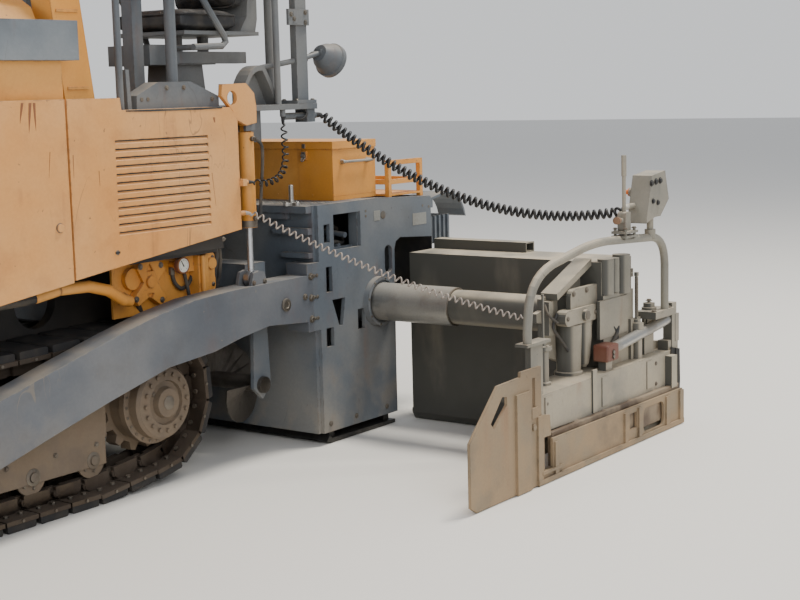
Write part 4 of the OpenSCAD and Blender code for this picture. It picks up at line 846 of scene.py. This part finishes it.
for (x0, z0), (x1, z1), width in (((-0.951, 1.338), (-0.967, 1.196), 0.0014),
                                  ((-0.183, 1.452), (-0.181, 1.364), 0.0018),
                                  ((-0.311, 1.384), (-0.312, 1.325), 0.0016),
                                  ((-0.977, 1.572), (-0.981, 1.55), 0.007)):
    add_slab(marks, [(x0 - width, z0), (x0 + width, z0), (x1 + width * 0.4, z1), (x1 - width * 0.4, z1)], 1,
             1.2501, 1.2504)
rust_run = painted("rust_run", (118, 70, 40), (140, 88, 52), wear=0.1, streaks=0.4, dust=0.1, dirt=0.0)
piece(drips, "door_rust_runs", "side_door_left", rust_run)
piece(marks, "panel_scratches", "tractor", rust_run)
# Painted shade: a black sheet behind the louvre field stands for the shade inside.
louvre_shade_backing = store()
add_box(louvre_shade_backing, (-0.95, 1.195, 1.1), (-0.39, 1.197, 1.515))
piece(both_sides(louvre_shade_backing), "louvre_painted_shade_backing", "tractor", hose_black)

# Bonnet, side guards, deck and canopy
# The bonnet is orange sheet; deck, posts and brackets are welded and painted grey, and bolted to the frame.
roof_paint = painted("roof_orange", (208, 138, 56), (216, 152, 76), wear=0.4, streaks=0.4, scratches=0.2,
                     dust=0.5, dirt=0.0)
guard_paint = painted("guard_grey", (92, 99, 105), (118, 124, 128), wear=0.5, streaks=0.7, scratches=0.6,
                      dust=0.35, dirt=0.0)
deck_paint = painted("deck_grey", (78, 83, 88), (98, 101, 102), wear=0.4, streaks=0.25, scratches=0.3,
                     dust=0.4, dirt=0.0)
finish(cast_paint, "bonnet")
finish(roof_paint, "canopy_roof")
finish(guard_paint, "side_guards")
finish(deck_paint, "platform", "console", "seats", "handrails")
finish(painted("post_paint", (78, 83, 88), (98, 101, 102), wear=0.4, streaks=0.3, dust=0.3, dirt=0.0,
               other=(-0.7, (214, 138, 48), (222, 154, 70))), "canopy_posts")
fixings = store()
for x in (-0.605, -0.64):
    add_turned(fixings, (x, 1.2045, 1.655), OUT, [(0, 0.009), (0.001, 0.009)], 14)
bolts_out(fixings, 1.204, ((-1.02, 1.65), (-0.75, 1.70), (-0.85, 1.70)), 0.008)
bolts_out(fixings, 1.1918, ((-1.58, 2.02), (-1.60, 2.0), (-1.68, 2.03), (-1.68, 1.985)), 0.009)
for x in (-1.715, -1.6):
    for y in (1.115, 1.19):
        add_bolt(fixings, (x, y, 1.632), UP, 0.009)
piece(both_sides(fixings), "deck_bolts", "tractor", bolt_steel)
column = store()
for z in np.arange(1.7, 3.5, 0.3):
    x = float(np.interp(z, (1.616, 2.3, 3.59), (-0.29, -0.2, -0.17)))
    add_box(column, (x - 0.13, 1.1085, float(z)), (x - 0.02, 1.1135, float(z) + 0.012))
piece(both_sides(column), "column_ribs", "tractor", cast_paint)
glow = store()
lens_axis = Vector((-math.sin(math.radians(112)), 0, math.cos(math.radians(112))))
lamp_at = Vector((-1.815, 1.17, 1.842))
add_turned(glow, lamp_at + lens_axis * 0.073, lens_axis, [(0, 0.071), (0.003, 0.071), (0.008, 0.05),
                                                          (0.010, 0.01)], 32)
glass, tree, shader = new_look("lamp_glass")
ribs = put(tree, "TexWave", {"bands_direction": "X"}, Scale=60.0)
tree.links.new(blend_colour(tree, ribs.outputs["Fac"], tone(176, 180, 178), tone(214, 216, 212)),
               shader.inputs["Base Color"])
shader.inputs["Roughness"].default_value = 0.12
shader.inputs["Coat Weight"].default_value = 0.6
piece(both_sides(glow), "lamp_lens", "tractor", glass)
wires = store()
add_hoses(wires, [(points, 0.0065) for points in (
    [(-1.70, 1.165, 1.66), (-1.72, 1.15, 1.72), (-1.735, 1.14, 1.8), (-1.76, 1.15, 1.845),
     (-1.79, 1.16, 1.85)],
    [(-1.16, 1.18, 1.59), (-1.162, 1.20, 1.54), (-1.155, 1.205, 1.45), (-1.155, 1.2, 1.33),
     (-1.15, 1.18, 1.24), (-1.13, 1.13, 1.21)],
    [(-1.655, 1.18, 1.60), (-1.66, 1.2, 1.57), (-1.63, 1.19, 1.545), (-1.6, 1.17, 1.56)],
)], 0.01, 8)
piece(both_sides(wires), "deck_wires", "tractor", cable_black)

# Exhaust
# A plain steel stub on the right of the bonnet, browned by heat, with a band clamp and a collar at its foot
# and a black disc in its mouth: soot, and painted shade for the pipe's inside.
heat_brown = bare_metal("heat_brown", (104, 88, 76), (70, 44, 30), (88, 72, 60), 0.7, 0.4)
stub = store()
for z, inner, outer, tall in ((2.121, 0.0622, 0.0642, 0.298), (2.14, 0.0642, 0.067, 0.024)):
    add_turned(stub, (0.82, -0.82, z), UP, [(0, inner), (0, outer), (tall, outer), (tall, inner)], 40,
               ring=True)
add_bolt(stub, (0.889, -0.82, 2.152), (1, 0, 0), 0.007)
add_turned(stub, (0.82, -0.82, 2.0505), UP, [(0, 0.0902), (0, 0.0915), (0.068, 0.0915), (0.068, 0.0902)],
           40, ring=True)
piece(stub, "exhaust_stub", "tractor", heat_brown)
# A black disc closes the mouth: soot, and painted shade for the pipe's inside.
soot_and_shade_mouth = store()
add_turned(soot_and_shade_mouth, (0.82, -0.82, 2.4195), UP, [(0, 0.0575), (0.0008, 0.0575)], 40)
piece(soot_and_shade_mouth, "exhaust_mouth_soot_and_shade", "tractor", hose_black)

# Operator's console
# Dials, push buttons and short levers with black balls stand on the sloping faces in front of the seats,
# screwed in from below.


def add_rod(kept, start, end, radius, sides=16):
    """A straight round bar."""
    way = Vector(end) - Vector(start)
    add_turned(kept, start, way, [(0, radius), (way.length, radius)], sides)


rod_chrome = bare_metal("rod_chrome", (214, 216, 218), (120, 112, 100), (150, 142, 128), 0.08, 0.12, 0.2)
faces_up, rings, buttons, sticks = store(), store(), store(), store()
slope_up = Vector((-0.581, 0, 0.814))
for y in (-0.18, -0.09, 0.0, 0.09, 0.18):
    place = Vector((-0.76 - 0.814 * 0.055, y, 2.4 - 0.581 * 0.055))
    add_turned(rings, place, slope_up, [(0, 0.03), (0.005, 0.03), (0.006, 0.026)], 28)
    add_turned(faces_up, place + slope_up * 0.006, slope_up, [(0, 0.025), (0.0006, 0.025)], 28)
for k in range(9):
    place = (-0.76 - 0.814 * 0.13, -0.2 + 0.05 * k, 2.4 - 0.581 * 0.13)
    add_turned(buttons, place, slope_up, [(-0.001, 0.011), (0.004, 0.011), (0.004, 0.008), (0.009, 0.007)],
               14)
for side in (-1, 1):
    for k in range(4):
        place = Vector((-0.81, side * (0.62 + 0.075 * k), 2.28))
        add_turned(buttons, place, (-0.555, 0, 0.832), [(-0.001, 0.016), (0.006, 0.014), (0.012, 0.008)],
                   14)
        add_rod(sticks, place, place + Vector((-0.03, 0, 0.075)), 0.004, 10)
        turns = np.linspace(0, math.pi, 10)
        ball = [(0.014 - 0.014 * math.cos(a), max(0.0004, 0.014 * math.sin(a))) for a in turns]
        add_turned(buttons, place + Vector((-0.028, 0, 0.07)), (-0.37, 0, 0.93), ball, 14)
piece(rings, "dial_rings", "tractor", bolt_steel)
dial_grey = moulded("dial_grey", (206, 203, 194), (160, 152, 136), 0.3, 200.0, 0.3)
piece(faces_up, "dial_faces", "tractor", dial_grey)
piece(buttons, "console_buttons", "tractor", cable_black)
piece(sticks, "console_levers", "tractor", rod_chrome)

# Lift cylinders
# Orange barrels with a gland nut, chromed rods and a feed hose, hung from a pin on each side behind the
# lifting ear.
finish(cast_paint, "lift_barrel_left", "lift_barrel_right")
finish(rod_chrome, "lift_rod_left", "lift_rod_right")
for side, name in ((1, "left"), (-1, "right")):
    gland = store()
    add_turned(gland, (-1.24, 1.19 * side, 1.0795), (0, 0, -1), [(-0.03, 0.0385), (0.0, 0.0385),
                                                                 (0.0, 0.036)], 32)
    for z in (1.12, 1.47):
        add_turned(gland, (-1.24, 1.19 * side + 0.034 * side, z), (0, side, 0),
                   [(0, 0.013), (0.014, 0.013), (0.016, 0.010), (0.024, 0.010)], 6)
    piece(gland, "lift_gland_" + name, "lift_barrel_" + name, bolt_steel)
    feed = store()
    route = [(-1.24, 1.247, 1.47), (-1.262, 1.262, 1.44), (-1.268, 1.258, 1.36), (-1.262, 1.25, 1.24),
             (-1.25, 1.25, 1.14), (-1.24, 1.247, 1.12)]
    add_tube(feed, smooth_route([(x, y * side, z) for x, y, z in route], 0.01), 0.0075, 8)
    piece(feed, "lift_hose_" + name, "lift_barrel_" + name, hose_black)

# Tow arms and auger carrier
# Deep welded box arms, painted grey-blue and scratched by hoses and boots, bolted to the screed; the augers
# turn in a carrier between them.
arm_paint = painted("arm_grey", (80, 84, 90), (94, 98, 103), wear=0.5, streaks=0.12, scratches=0.5,
                    dust=0.35, dirt=0.25, bare=(120, 110, 96))
screed_paint = painted("screed_grey", (86, 93, 100), (104, 108, 110), wear=0.6, streaks=0.25,
                       scratches=0.35, dust=0.5, dirt=0.3)
auger_steel = bare_metal("auger_steel", (120, 114, 106), (40, 34, 30), (70, 62, 54), 0.6, 0.4)
finish(arm_paint, "tow_arms")
finish(screed_paint, "auger_carrier")
finish(auger_steel, "auger_left", "auger_right")
arm = store()
add_turned(arm, (-1.4, 1.2535, 0.712), OUT, [(0, 0.03), (0.004, 0.03), (0.006, 0.026), (0.006, 0.016),
                                             (0.003, 0.014)], 28)
add_bolt(arm, (-1.54, 1.2495, 0.73), OUT, 0.012)
bolts_out(arm, 1.2495, [(-1.585, z) for z in (0.62, 0.72, 0.82)], 0.013)
bolts_out(arm, 1.2375, [(-1.276, 0.835), (-1.204, 0.835)], 0.009)
add_turned(arm, (1.35, 1.2495, 0.34), OUT, [(0, 0.075), (0.0, 0.075), (0.0005, 0.07)], 32)
piece(both_sides(arm), "arm_bolts", "screed", bolt_steel)

# Screed
# The main beam behind the tractor, welded of grey plate with cut-outs in its sides and a treaded deck.
# Rubber curtains close its rear, and a steel sole plate slides on the mat below.
sole_steel = bare_metal("sole_steel", (96, 94, 90), (30, 27, 25), (48, 44, 40), 0.6, 0.3)
# Dark grey: painted shade on the plate inside the screed's rear.
wall_shade_paint = painted("wall_dark_grey_painted_shade", (56, 59, 60), (80, 82, 80), wear=0.45, streaks=0.2, scratches=0.3,
                     dust=0.3, dirt=0.25, bare=(110, 106, 98))
slide_steel = bare_metal("slide_steel", (186, 184, 178), (96, 84, 70), (142, 134, 120), 0.35, 0.35)
finish(screed_paint, "screed_frame")
finish(sole_steel, "screed_plate")
beam = store()
for x, z in ((-2.02, 1.09), (-2.02, 1.065), (-2.5, 1.08), (-2.555, 1.07)):
    add_turned(beam, (x, 1.2495, z), OUT, [(0, 0.007), (0.0012, 0.007)], 12)
bolts_out(beam, 1.2815, around(-2.1, 0.64, 0.114, 8, 0.2), 0.0045, 0.005)
bolts_out(beam, 1.2498, [(x, z) for x in (-1.63, -1.61) for z in (0.62, 0.72, 0.82)], 0.007)
add_turned(beam, (-2.16, 1.2495, 1.06), OUT, [(0, 0.02), (0.002, 0.02), (0.003, 0.016)], 20)
bolts_out(beam, 1.2495, [(x, 0.1) for x in (-1.7, -1.9, -2.15, -2.4)], 0.010)
piece(both_sides(beam), "screed_bolts", "screed", bolt_steel)
plates = store()
add_box(plates, (-2.135, 1.2498, 1.035), (-2.085, 1.2512, 1.085))
add_box(plates, (-2.53, 1.2498, 0.985), (-2.41, 1.2512, 1.045))
plate_tin = bare_metal("plate_tin", (168, 168, 162), (120, 110, 96), (150, 142, 128), 0.3, 0.3)
piece(both_sides(plates), "bare_plates", "screed", plate_tin)
hoses = store()
add_hoses(hoses, (
    ([(-1.72, 1.10, 1.0), (-1.8, 1.13, 0.99), (-1.9, 1.12, 1.02), (-2.0, 1.08, 1.0)], 0.012),
    ([(-1.74, 1.14, 0.95), (-1.84, 1.18, 0.955), (-1.94, 1.16, 0.94), (-2.02, 1.10, 0.96)], 0.010),
    ([(-1.86, 1.12, 0.93), (-1.87, 1.14, 1.0), (-1.85, 1.12, 1.08)], 0.010),
), 0.012)
piece(both_sides(hoses), "window_hoses", "screed", hose_black)
# A dark grey plate across the screed's rear: painted shade for what is seen through the cut-outs in its
# sides.
inner = store()
add_box(inner, (-2.24, -1.22, 0.49), (-2.236, 1.22, 1.1235))
piece(inner, "rear_closing_plate", "screed", wall_shade_paint)
curtain = store()
add_box(curtain, (-2.6495, 0.88, 0.5), (-2.6455, 1.2, 0.985))
for y in (0.92, 1.0, 1.08, 1.16):
    add_box(curtain, (-2.652, y - 0.02, 0.955), (-2.6495, y + 0.02, 0.985))
piece(both_sides(curtain), "rubber_curtains", "screed", pad_rubber)
stud = store()
lobes = []
for k in range(48):
    a = 2 * math.pi * k / 48
    r = 0.036 + 0.012 * math.cos(4 * a)
    lobes.append((-1.62 + r * math.cos(a), 1.12 + r * math.sin(a)))
add_slab(stud, lobes, 2, 1.144, 1.1585)
for x, y in around(-1.62, 1.12, 0.036, 4):
    add_bolt(stud, (x, y, 1.1585), UP, 0.006)
add_turned(stud, (-1.62, 1.12, 1.1585), UP, [(0, 0.015), (0.01, 0.015), (0.01, 0.011), (0.078, 0.011),
                                             (0.082, 0.008)], 20)
piece(both_sides(stud), "deck_studs", "screed", slide_steel)
tread = store()
for i, x in enumerate(np.arange(-2.56, -1.68, 0.028)):
    top = 1.1444 - max(0.0, -2.1 - float(x)) * 0.0418
    for k, y in enumerate(np.arange(-1.19, 1.2, 0.028)):
        if -2.26 < x < -1.87 and 0.38 < y < 1.17:
            continue
        s = 1 if (i + k) % 2 else -1
        add_slab(tread, [(x - 0.009, y - 0.009 * s), (x + 0.002, y - 0.002 * s), (x + 0.009, y + 0.009 * s),
                         (x - 0.002, y + 0.002 * s)], 2, top, top + 0.0016)
piece(tread, "deck_tread", "screed", screed_paint)

# Tool box
# A sheet steel box on the deck with a full lid, two zinc-plated hasps at the front, riveted seams and a
# bright bar at its side.
finish(cast_paint, "tool_box", "tool_lid")
hasps = store()
for y in (0.56, 0.98):
    add_box(hasps, (-1.8925, y - 0.011, 1.345), (-1.886, y + 0.011, 1.38))
    add_turned(hasps, (-1.889, y - 0.013, 1.362), OUT, [(0, 0.007), (0.026, 0.007)], 12)
    staple = [(-1.888, y - 0.008, 1.35), (-1.878, y - 0.008, 1.34), (-1.876, y, 1.334),
              (-1.878, y + 0.008, 1.34), (-1.888, y + 0.008, 1.35)]
    add_tube(hasps, smooth_route(staple, 0.004), 0.003, 8)
for x in (-1.97, -2.17):
    add_turned(hasps, (x, 1.1495, 1.33), OUT, [(0, 0.013), (0.024, 0.009)], 16)
add_rod(hasps, (-1.95, 1.174, 1.33), (-2.19, 1.174, 1.33), 0.007, 12)
piece(hasps, "box_hasps_and_bar", "screed", slide_steel)
catches = store()
for y in (0.56, 0.98):
    add_box(catches, (-1.8945, y - 0.009, 1.397), (-1.889, y + 0.009, 1.418))
piece(catches, "lid_catches", "tool_lid", slide_steel)
seams = store()
add_box(seams, (-2.235, 1.1495, 1.166), (-1.905, 1.1505, 1.169))
for y in np.arange(0.47, 1.13, 0.11):
    add_turned(seams, (-1.9005, float(y), 1.17), (1, 0, 0), [(0, 0.006), (0.002, 0.004)], 10)
piece(seams, "box_rivets", "screed", cast_paint)

# Guide tubes
# Ground steel tubes, three stages deep, bright where they slide and filmed with dried mix elsewhere. A
# wiper ring keeps grit out of each joint.
finish(slide_steel, "guide_mid_left", "guide_mid_right")
for side, name in ((1, "left"), (-1, "right")):
    wiper = store()
    add_turned(wiper, (-2.1, 1.7151 * side, 0.64), (0, side, 0),
               [(0, 0.0832), (0, 0.0918), (0.004, 0.0918), (0.006, 0.089), (0.006, 0.0832)], 40, ring=True)
    piece(wiper, "tube_wiper_" + name, "guide_mid_" + name, bolt_steel)

# Extensions
# Grey boxes and brackets bleached by dust, rust running from the joints, with the drive gear for the crown,
# grease hoses and a black flap at the rear.
dusty_paint = painted("dusty_grey", (118, 115, 105), (142, 135, 120), wear=0.45, streaks=0.6, scratches=0.2,
                      dust=0.75, dirt=0.6, dust_tone=(178, 165, 142))
# Its forward faces get a darker film: asphalt film and painted shade.
wing_paint = painted("wing_grey", (120, 116, 104), (148, 139, 122), wear=0.45, streaks=0.6, scratches=0.2,
                     dust=0.75, dirt=0.5, dust_tone=(186, 172, 148), front=(74, 73, 67))
finish(wing_paint, "extension_left", "extension_right")
finish(dusty_paint, "hoop_rail_left", "hoop_rail_right")
# Dark brown: dirt, and painted shade for what is seen through the end gate's openings.
shade_and_dirt_brown = painted("inner_wall_brown", (58, 42, 30), (84, 64, 46), streaks=0.8, dust=0.3, dirt=0.6)
for side, name in ((1, "left"), (-1, "right")):
    def place(kept):
        return kept if side == 1 else mirrored(kept)
    bolts = store()
    bolts_out(bolts, 2.338, ((-2.12, 0.735), (-2.13, 0.64), (-2.36, 0.735), (-2.36, 0.64), (-2.24, 0.74)),
              0.010)
    add_turned(bolts, (-2.2, 2.3665, 0.63), OUT, [(0, 0.022), (0.003, 0.022), (0.005, 0.012)], 6)
    bolts_out(bolts, 2.351, [(-2.045, 0.632), (-2.3, 0.632)], 0.009)
    bolts_out(bolts, 2.4395, ((-2.74, 0.325), (-2.74, 0.225), (-2.945, 0.32), (-2.945, 0.23), (-1.7, 0.25),
                              (-1.7, 0.32)), 0.008)
    add_bolt(bolts, (-2.787, 2.38, 0.622), UP, 0.012)
    for x in (-2.88, -2.72):
        add_bolt(bolts, (x, 2.44, 0.5795), UP, 0.011)
    bolts_out(bolts, 2.3815, ((-2.605, 0.79), (-2.605, 0.77)), 0.006)
    for x, y in around(-1.877, 2.32, 0.03, 6):
        add_bolt(bolts, (x, y, 0.5335), UP, 0.005)
    for x, y in ((-2.46, 2.414), (-2.466, 2.414), (-2.46, 2.466), (-2.466, 2.466), (-2.378, 2.414),
                 (-2.378, 2.466)):
        add_bolt(bolts, (x, y, 1.009), UP, 0.009)
    bolts_out(bolts, 2.4415, [(-2.3, 0.45), (-2.3, 0.43)], 0.010)
    piece(place(bolts), "extension_bolts_" + name, "extension_" + name, bolt_steel)
    thread = store()
    profile = []
    for k in range(60):
        profile += [(k * 0.0032, 0.0078), (k * 0.0032 + 0.0016, 0.0092)]
    add_turned(thread, (-2.64, 2.388, 0.562), UP, profile, 14)
    piece(place(thread), "spindle_thread_" + name, "extension_" + name, bolt_steel)
    clamp = store()
    add_box(clamp, (-2.356, 2.364, 0.408), (-2.246, 2.4435, 0.486))
    clamp_rust = painted("clamp_rust", (88, 42, 30), (104, 58, 42), dust=0.2)
    piece(place(clamp), "bar_clamp_" + name, "extension_" + name, clamp_rust, edge=0.008)
    silver = store()
    add_rod(silver, (-2.356, 2.405, 0.4535), (-2.925, 2.405, 0.5115), 0.0268, 28)
    piece(place(silver), "push_bar_" + name, "extension_" + name, slide_steel)
    pipes = store()
    add_hoses(pipes, (
        ([(-2.36, 2.33, 0.60), (-2.42, 2.36, 0.56), (-2.47, 2.37, 0.50), (-2.44, 2.37, 0.45),
          (-2.40, 2.33, 0.42)], 0.010),
        ([(-2.38, 2.35, 0.44), (-2.42, 2.38, 0.48), (-2.48, 2.37, 0.53), (-2.52, 2.34, 0.57)], 0.010),
        ([(-2.40, 2.33, 0.56), (-2.46, 2.35, 0.46), (-2.53, 2.36, 0.40), (-2.60, 2.34, 0.38)], 0.008),
        ([(-2.02, 2.31, 0.66), (-2.0, 2.30, 0.60), (-2.03, 2.32, 0.54), (-2.08, 2.33, 0.48)], 0.007),
        ([(-1.98, 2.27, 0.70), (-1.96, 2.30, 0.66), (-1.99, 2.33, 0.62)], 0.006),
    ), 0.01)
    piece(place(pipes), "extension_hoses_" + name, "extension_" + name, hose_black)
    rubber = store()
    add_slab(rubber, [(-2.90, 0.06), (-2.985, 0.08), (-2.998, 0.2), (-2.992, 0.36), (-2.9, 0.38),
                      (-2.885, 0.2)], 1, 2.44, 2.446)
    add_slab(rubber, [(-2.93, 0.07), (-2.97, 0.09), (-2.98, 0.36), (-2.94, 0.37)], 1, 2.446, 2.452)
    piece(place(rubber), "rubber_flap_" + name, "extension_" + name, pad_rubber)
    # A low dark brown wall behind the end gate's openings: painted shade, with dirt.
    shade_wall = store()
    add_box(shade_wall, (-2.93, 2.446, 0.05), (-1.69, 2.47, 0.2))
    for x in (-2.72, -2.46, -2.2, -1.95):
        add_box(shade_wall, (x - 0.02, 2.40, 0.06), (x + 0.02, 2.446, 0.2))
    piece(place(shade_wall), "inner_wall_" + name, "extension_" + name, shade_and_dirt_brown, edge=0.003)
    lever = store()
    grip = [(0, 0.013), (0.02, 0.012), (0.022, 0.018), (0.034, 0.018), (0.036, 0.008)]
    add_turned(lever, (-2.372, 2.438, 1.05), (1, 0.1, 0.05), grip, 16)
    lever_brown = painted("lever_brown", (112, 80, 56), (132, 102, 76))
    piece(place(lever), "clamp_lever_" + name, "extension_" + name, lever_brown)

# End gates
# Thick plates that ride on the ground beside the mat, hung on the extensions, brown with rust and earth
# towards the bottom.
gate_paint = painted("gate_grey", (112, 95, 73), (134, 118, 94), wear=0.5, streaks=0.75, scratches=0.25,
                     dust=0.5, dirt=0.9, dust_tone=(150, 128, 100))
finish(gate_paint, "end_gate_left", "end_gate_right")

# Handset
# A grey moulded box with a flared top, standing on the hoop rail by a pin, with buttons on its face and an
# orange switch at its back.
finish(dusty_paint, "handset")
keys = store()
for x, z, r in ((-2.615, 1.205, 0.012), (-2.66, 1.21, 0.012), (-2.705, 1.212, 0.012), (-2.63, 1.12, 0.01),
                (-2.68, 1.11, 0.01)):
    add_turned(keys, (x, 2.4795, z), OUT, [(0, r * 1.3), (0.003, r * 1.3), (0.003, r), (0.009, r * 0.9)],
               18)
piece(keys, "handset_buttons", "extension_left", cable_black)
switch = store()
stem = [(0, 0.021), (0.004, 0.02), (0.005, 0.012), (0.03, 0.010), (0.034, 0.006)]
add_turned(switch, (-2.63, 2.3605, 1.16), (0, -1, 0), stem, 20)
switch_orange = painted("switch_orange", (232, 106, 34), (240, 130, 60), wear=0.1, streaks=0, dust=0.2)
piece(switch, "handset_switch", "extension_left", switch_orange)

# Hopper and push rollers
# Welded plate, scoured grey by hot mix, with hinged wings that tip it inwards. Two bare steel rollers on a
# swinging beam push the truck's rear wheels.
hopper_paint = painted("hopper_grey", (92, 98, 102), (116, 118, 116), wear=0.6, streaks=0.35, scratches=0.5,
                       dust=0.5, dirt=0.3)
finish(hopper_paint, "hopper_tub", "hopper_wing_left", "hopper_wing_right", "push_beam")
finish(slide_steel, "push_roller_left", "push_roller_right")

# Seats
# Black vinyl over foam: a bottom and a back cushion on each seat pan, swollen between sewn piping.
vinyl = moulded("seat_vinyl", (30, 30, 32), (110, 102, 90), 0.5, 700.0, 0.35)


def crowned(low, high, rise):
    """A closed pad between two corners that swells by rise on its broad faces, with full round edges."""
    a, b = Vector(low), Vector(high)
    middle, half = (a + b) / 2, (b - a) / 2
    work = bmesh.new()
    bmesh.ops.create_cube(work, size=2.0)
    bmesh.ops.subdivide_edges(work, edges=work.edges, cuts=13, use_grid_fill=True)
    for v in work.verts:
        x, y, z = v.co
        swell = (1 - abs(x) ** 4) * (1 - abs(y) ** 4)
        round_off = 1 - 0.045 * (abs(x * z) ** 6 + abs(y * z) ** 6 + abs(x * y) ** 10)
        lift = rise * swell if z > 0.99 else 0
        v.co = middle + Vector((x * half.x * round_off, y * half.y * round_off,
                                z * half.z * round_off + lift))
    mesh = bpy.data.meshes.new("pad")
    work.to_mesh(mesh)
    work.free()
    return mesh


def stuffed(mesh, cap):
    """Fills a pad with foam: cloth under pressure, with each point held within cap of where it was sewn."""
    made = new_object("pad", mesh)
    grid, pressure, moments = 0.006, 4.0, 20
    remesh = made.modifiers.new("remesh", "REMESH")
    remesh.mode = "VOXEL"
    remesh.voxel_size = grid
    bpy.context.view_layer.update()
    graph = bpy.context.evaluated_depsgraph_get()
    dense = bpy.data.meshes.new_from_object(made.evaluated_get(graph))
    made.modifiers.clear()
    made.data = dense
    before = [v.co.copy() for v in dense.vertices]
    cloth = made.modifiers.new("foam", "CLOTH")
    cloth.settings.use_pressure = True
    cloth.settings.uniform_pressure_force = pressure
    cloth.settings.effector_weights.gravity = 0
    cloth.point_cache.frame_start = 1
    cloth.point_cache.frame_end = moments
    for moment in range(1, moments + 1):
        bpy.context.scene.frame_set(moment)
    graph = bpy.context.evaluated_depsgraph_get()
    swollen = bpy.data.meshes.new_from_object(made.evaluated_get(graph))
    made.modifiers.clear()
    for v, old in zip(swollen.vertices, before):
        way = v.co - old
        if way.length > cap:
            v.co = old + way.normalized() * cap
    made.data = swollen
    bpy.context.scene.frame_set(1)
    return made


def ring_seam(kept, places, radius):
    """Piping along a closed line."""
    add_tube(kept, smooth_route(places + [places[0]], 0.012), radius, 8)


bottom = stuffed(crowned((-1.325, 0.692, 1.954), (-0.948, 1.108, 2.018), 0.012), 0.01)
back = stuffed(crowned((-0.19, -0.193, -0.03), (0.19, 0.193, 0.03), 0.012), 0.01)
lean = Matrix.Translation((-1.3705, 0.9, 2.235)) @ Matrix.Rotation(math.radians(82.9), 4, "Y")
seams = store()
edge_line = []
for c, s in around(0, 0, 1, 40):
    grow = (abs(c) ** 8 + abs(s) ** 8) ** (-1 / 8)
    edge_line.append((c * grow, s * grow))
ring_seam(seams, [(-1.1365 + 0.186 * c, 0.9 + 0.206 * s, 2.012) for c, s in edge_line], 0.004)
for y in (0.83, 0.97):
    add_tube(seams, smooth_route([(-1.31, y, 2.02), (-1.14, y, 2.028), (-0.965, y, 2.02)], 0.01), 0.0035, 6)
loop = [lean @ Vector((0.188 * c, 0.19 * s, 0.022)) for c, s in edge_line]
ring_seam(seams, loop, 0.004)
seat_spacing, pads = 1.8, []
for shift in (0.0, -seat_spacing):
    for source, place in ((bottom, Matrix.Identity(4)), (back, lean)):
        pad = new_object("pad", source.data.copy()) if shift else source
        pads.append((pad, Matrix.Translation((0, shift, 0)) @ place))
work = bmesh.new()
for pad, place in pads:
    pad.data.transform(place)
    work.from_mesh(pad.data)
padding = bpy.data.meshes.new("seat_pads")
for f in work.faces:
    f.smooth = True
work.to_mesh(padding)
work.free()
padding.materials.append(vinyl)
seat_pads = new_object("seat_pads", padding)
for pad, place in pads:
    bpy.data.objects.remove(pad)
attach(seat_pads, "tractor")
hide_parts("seat_cushions")
piece(both_sides(seams), "seat_piping", "tractor", vinyl, sharp=80)
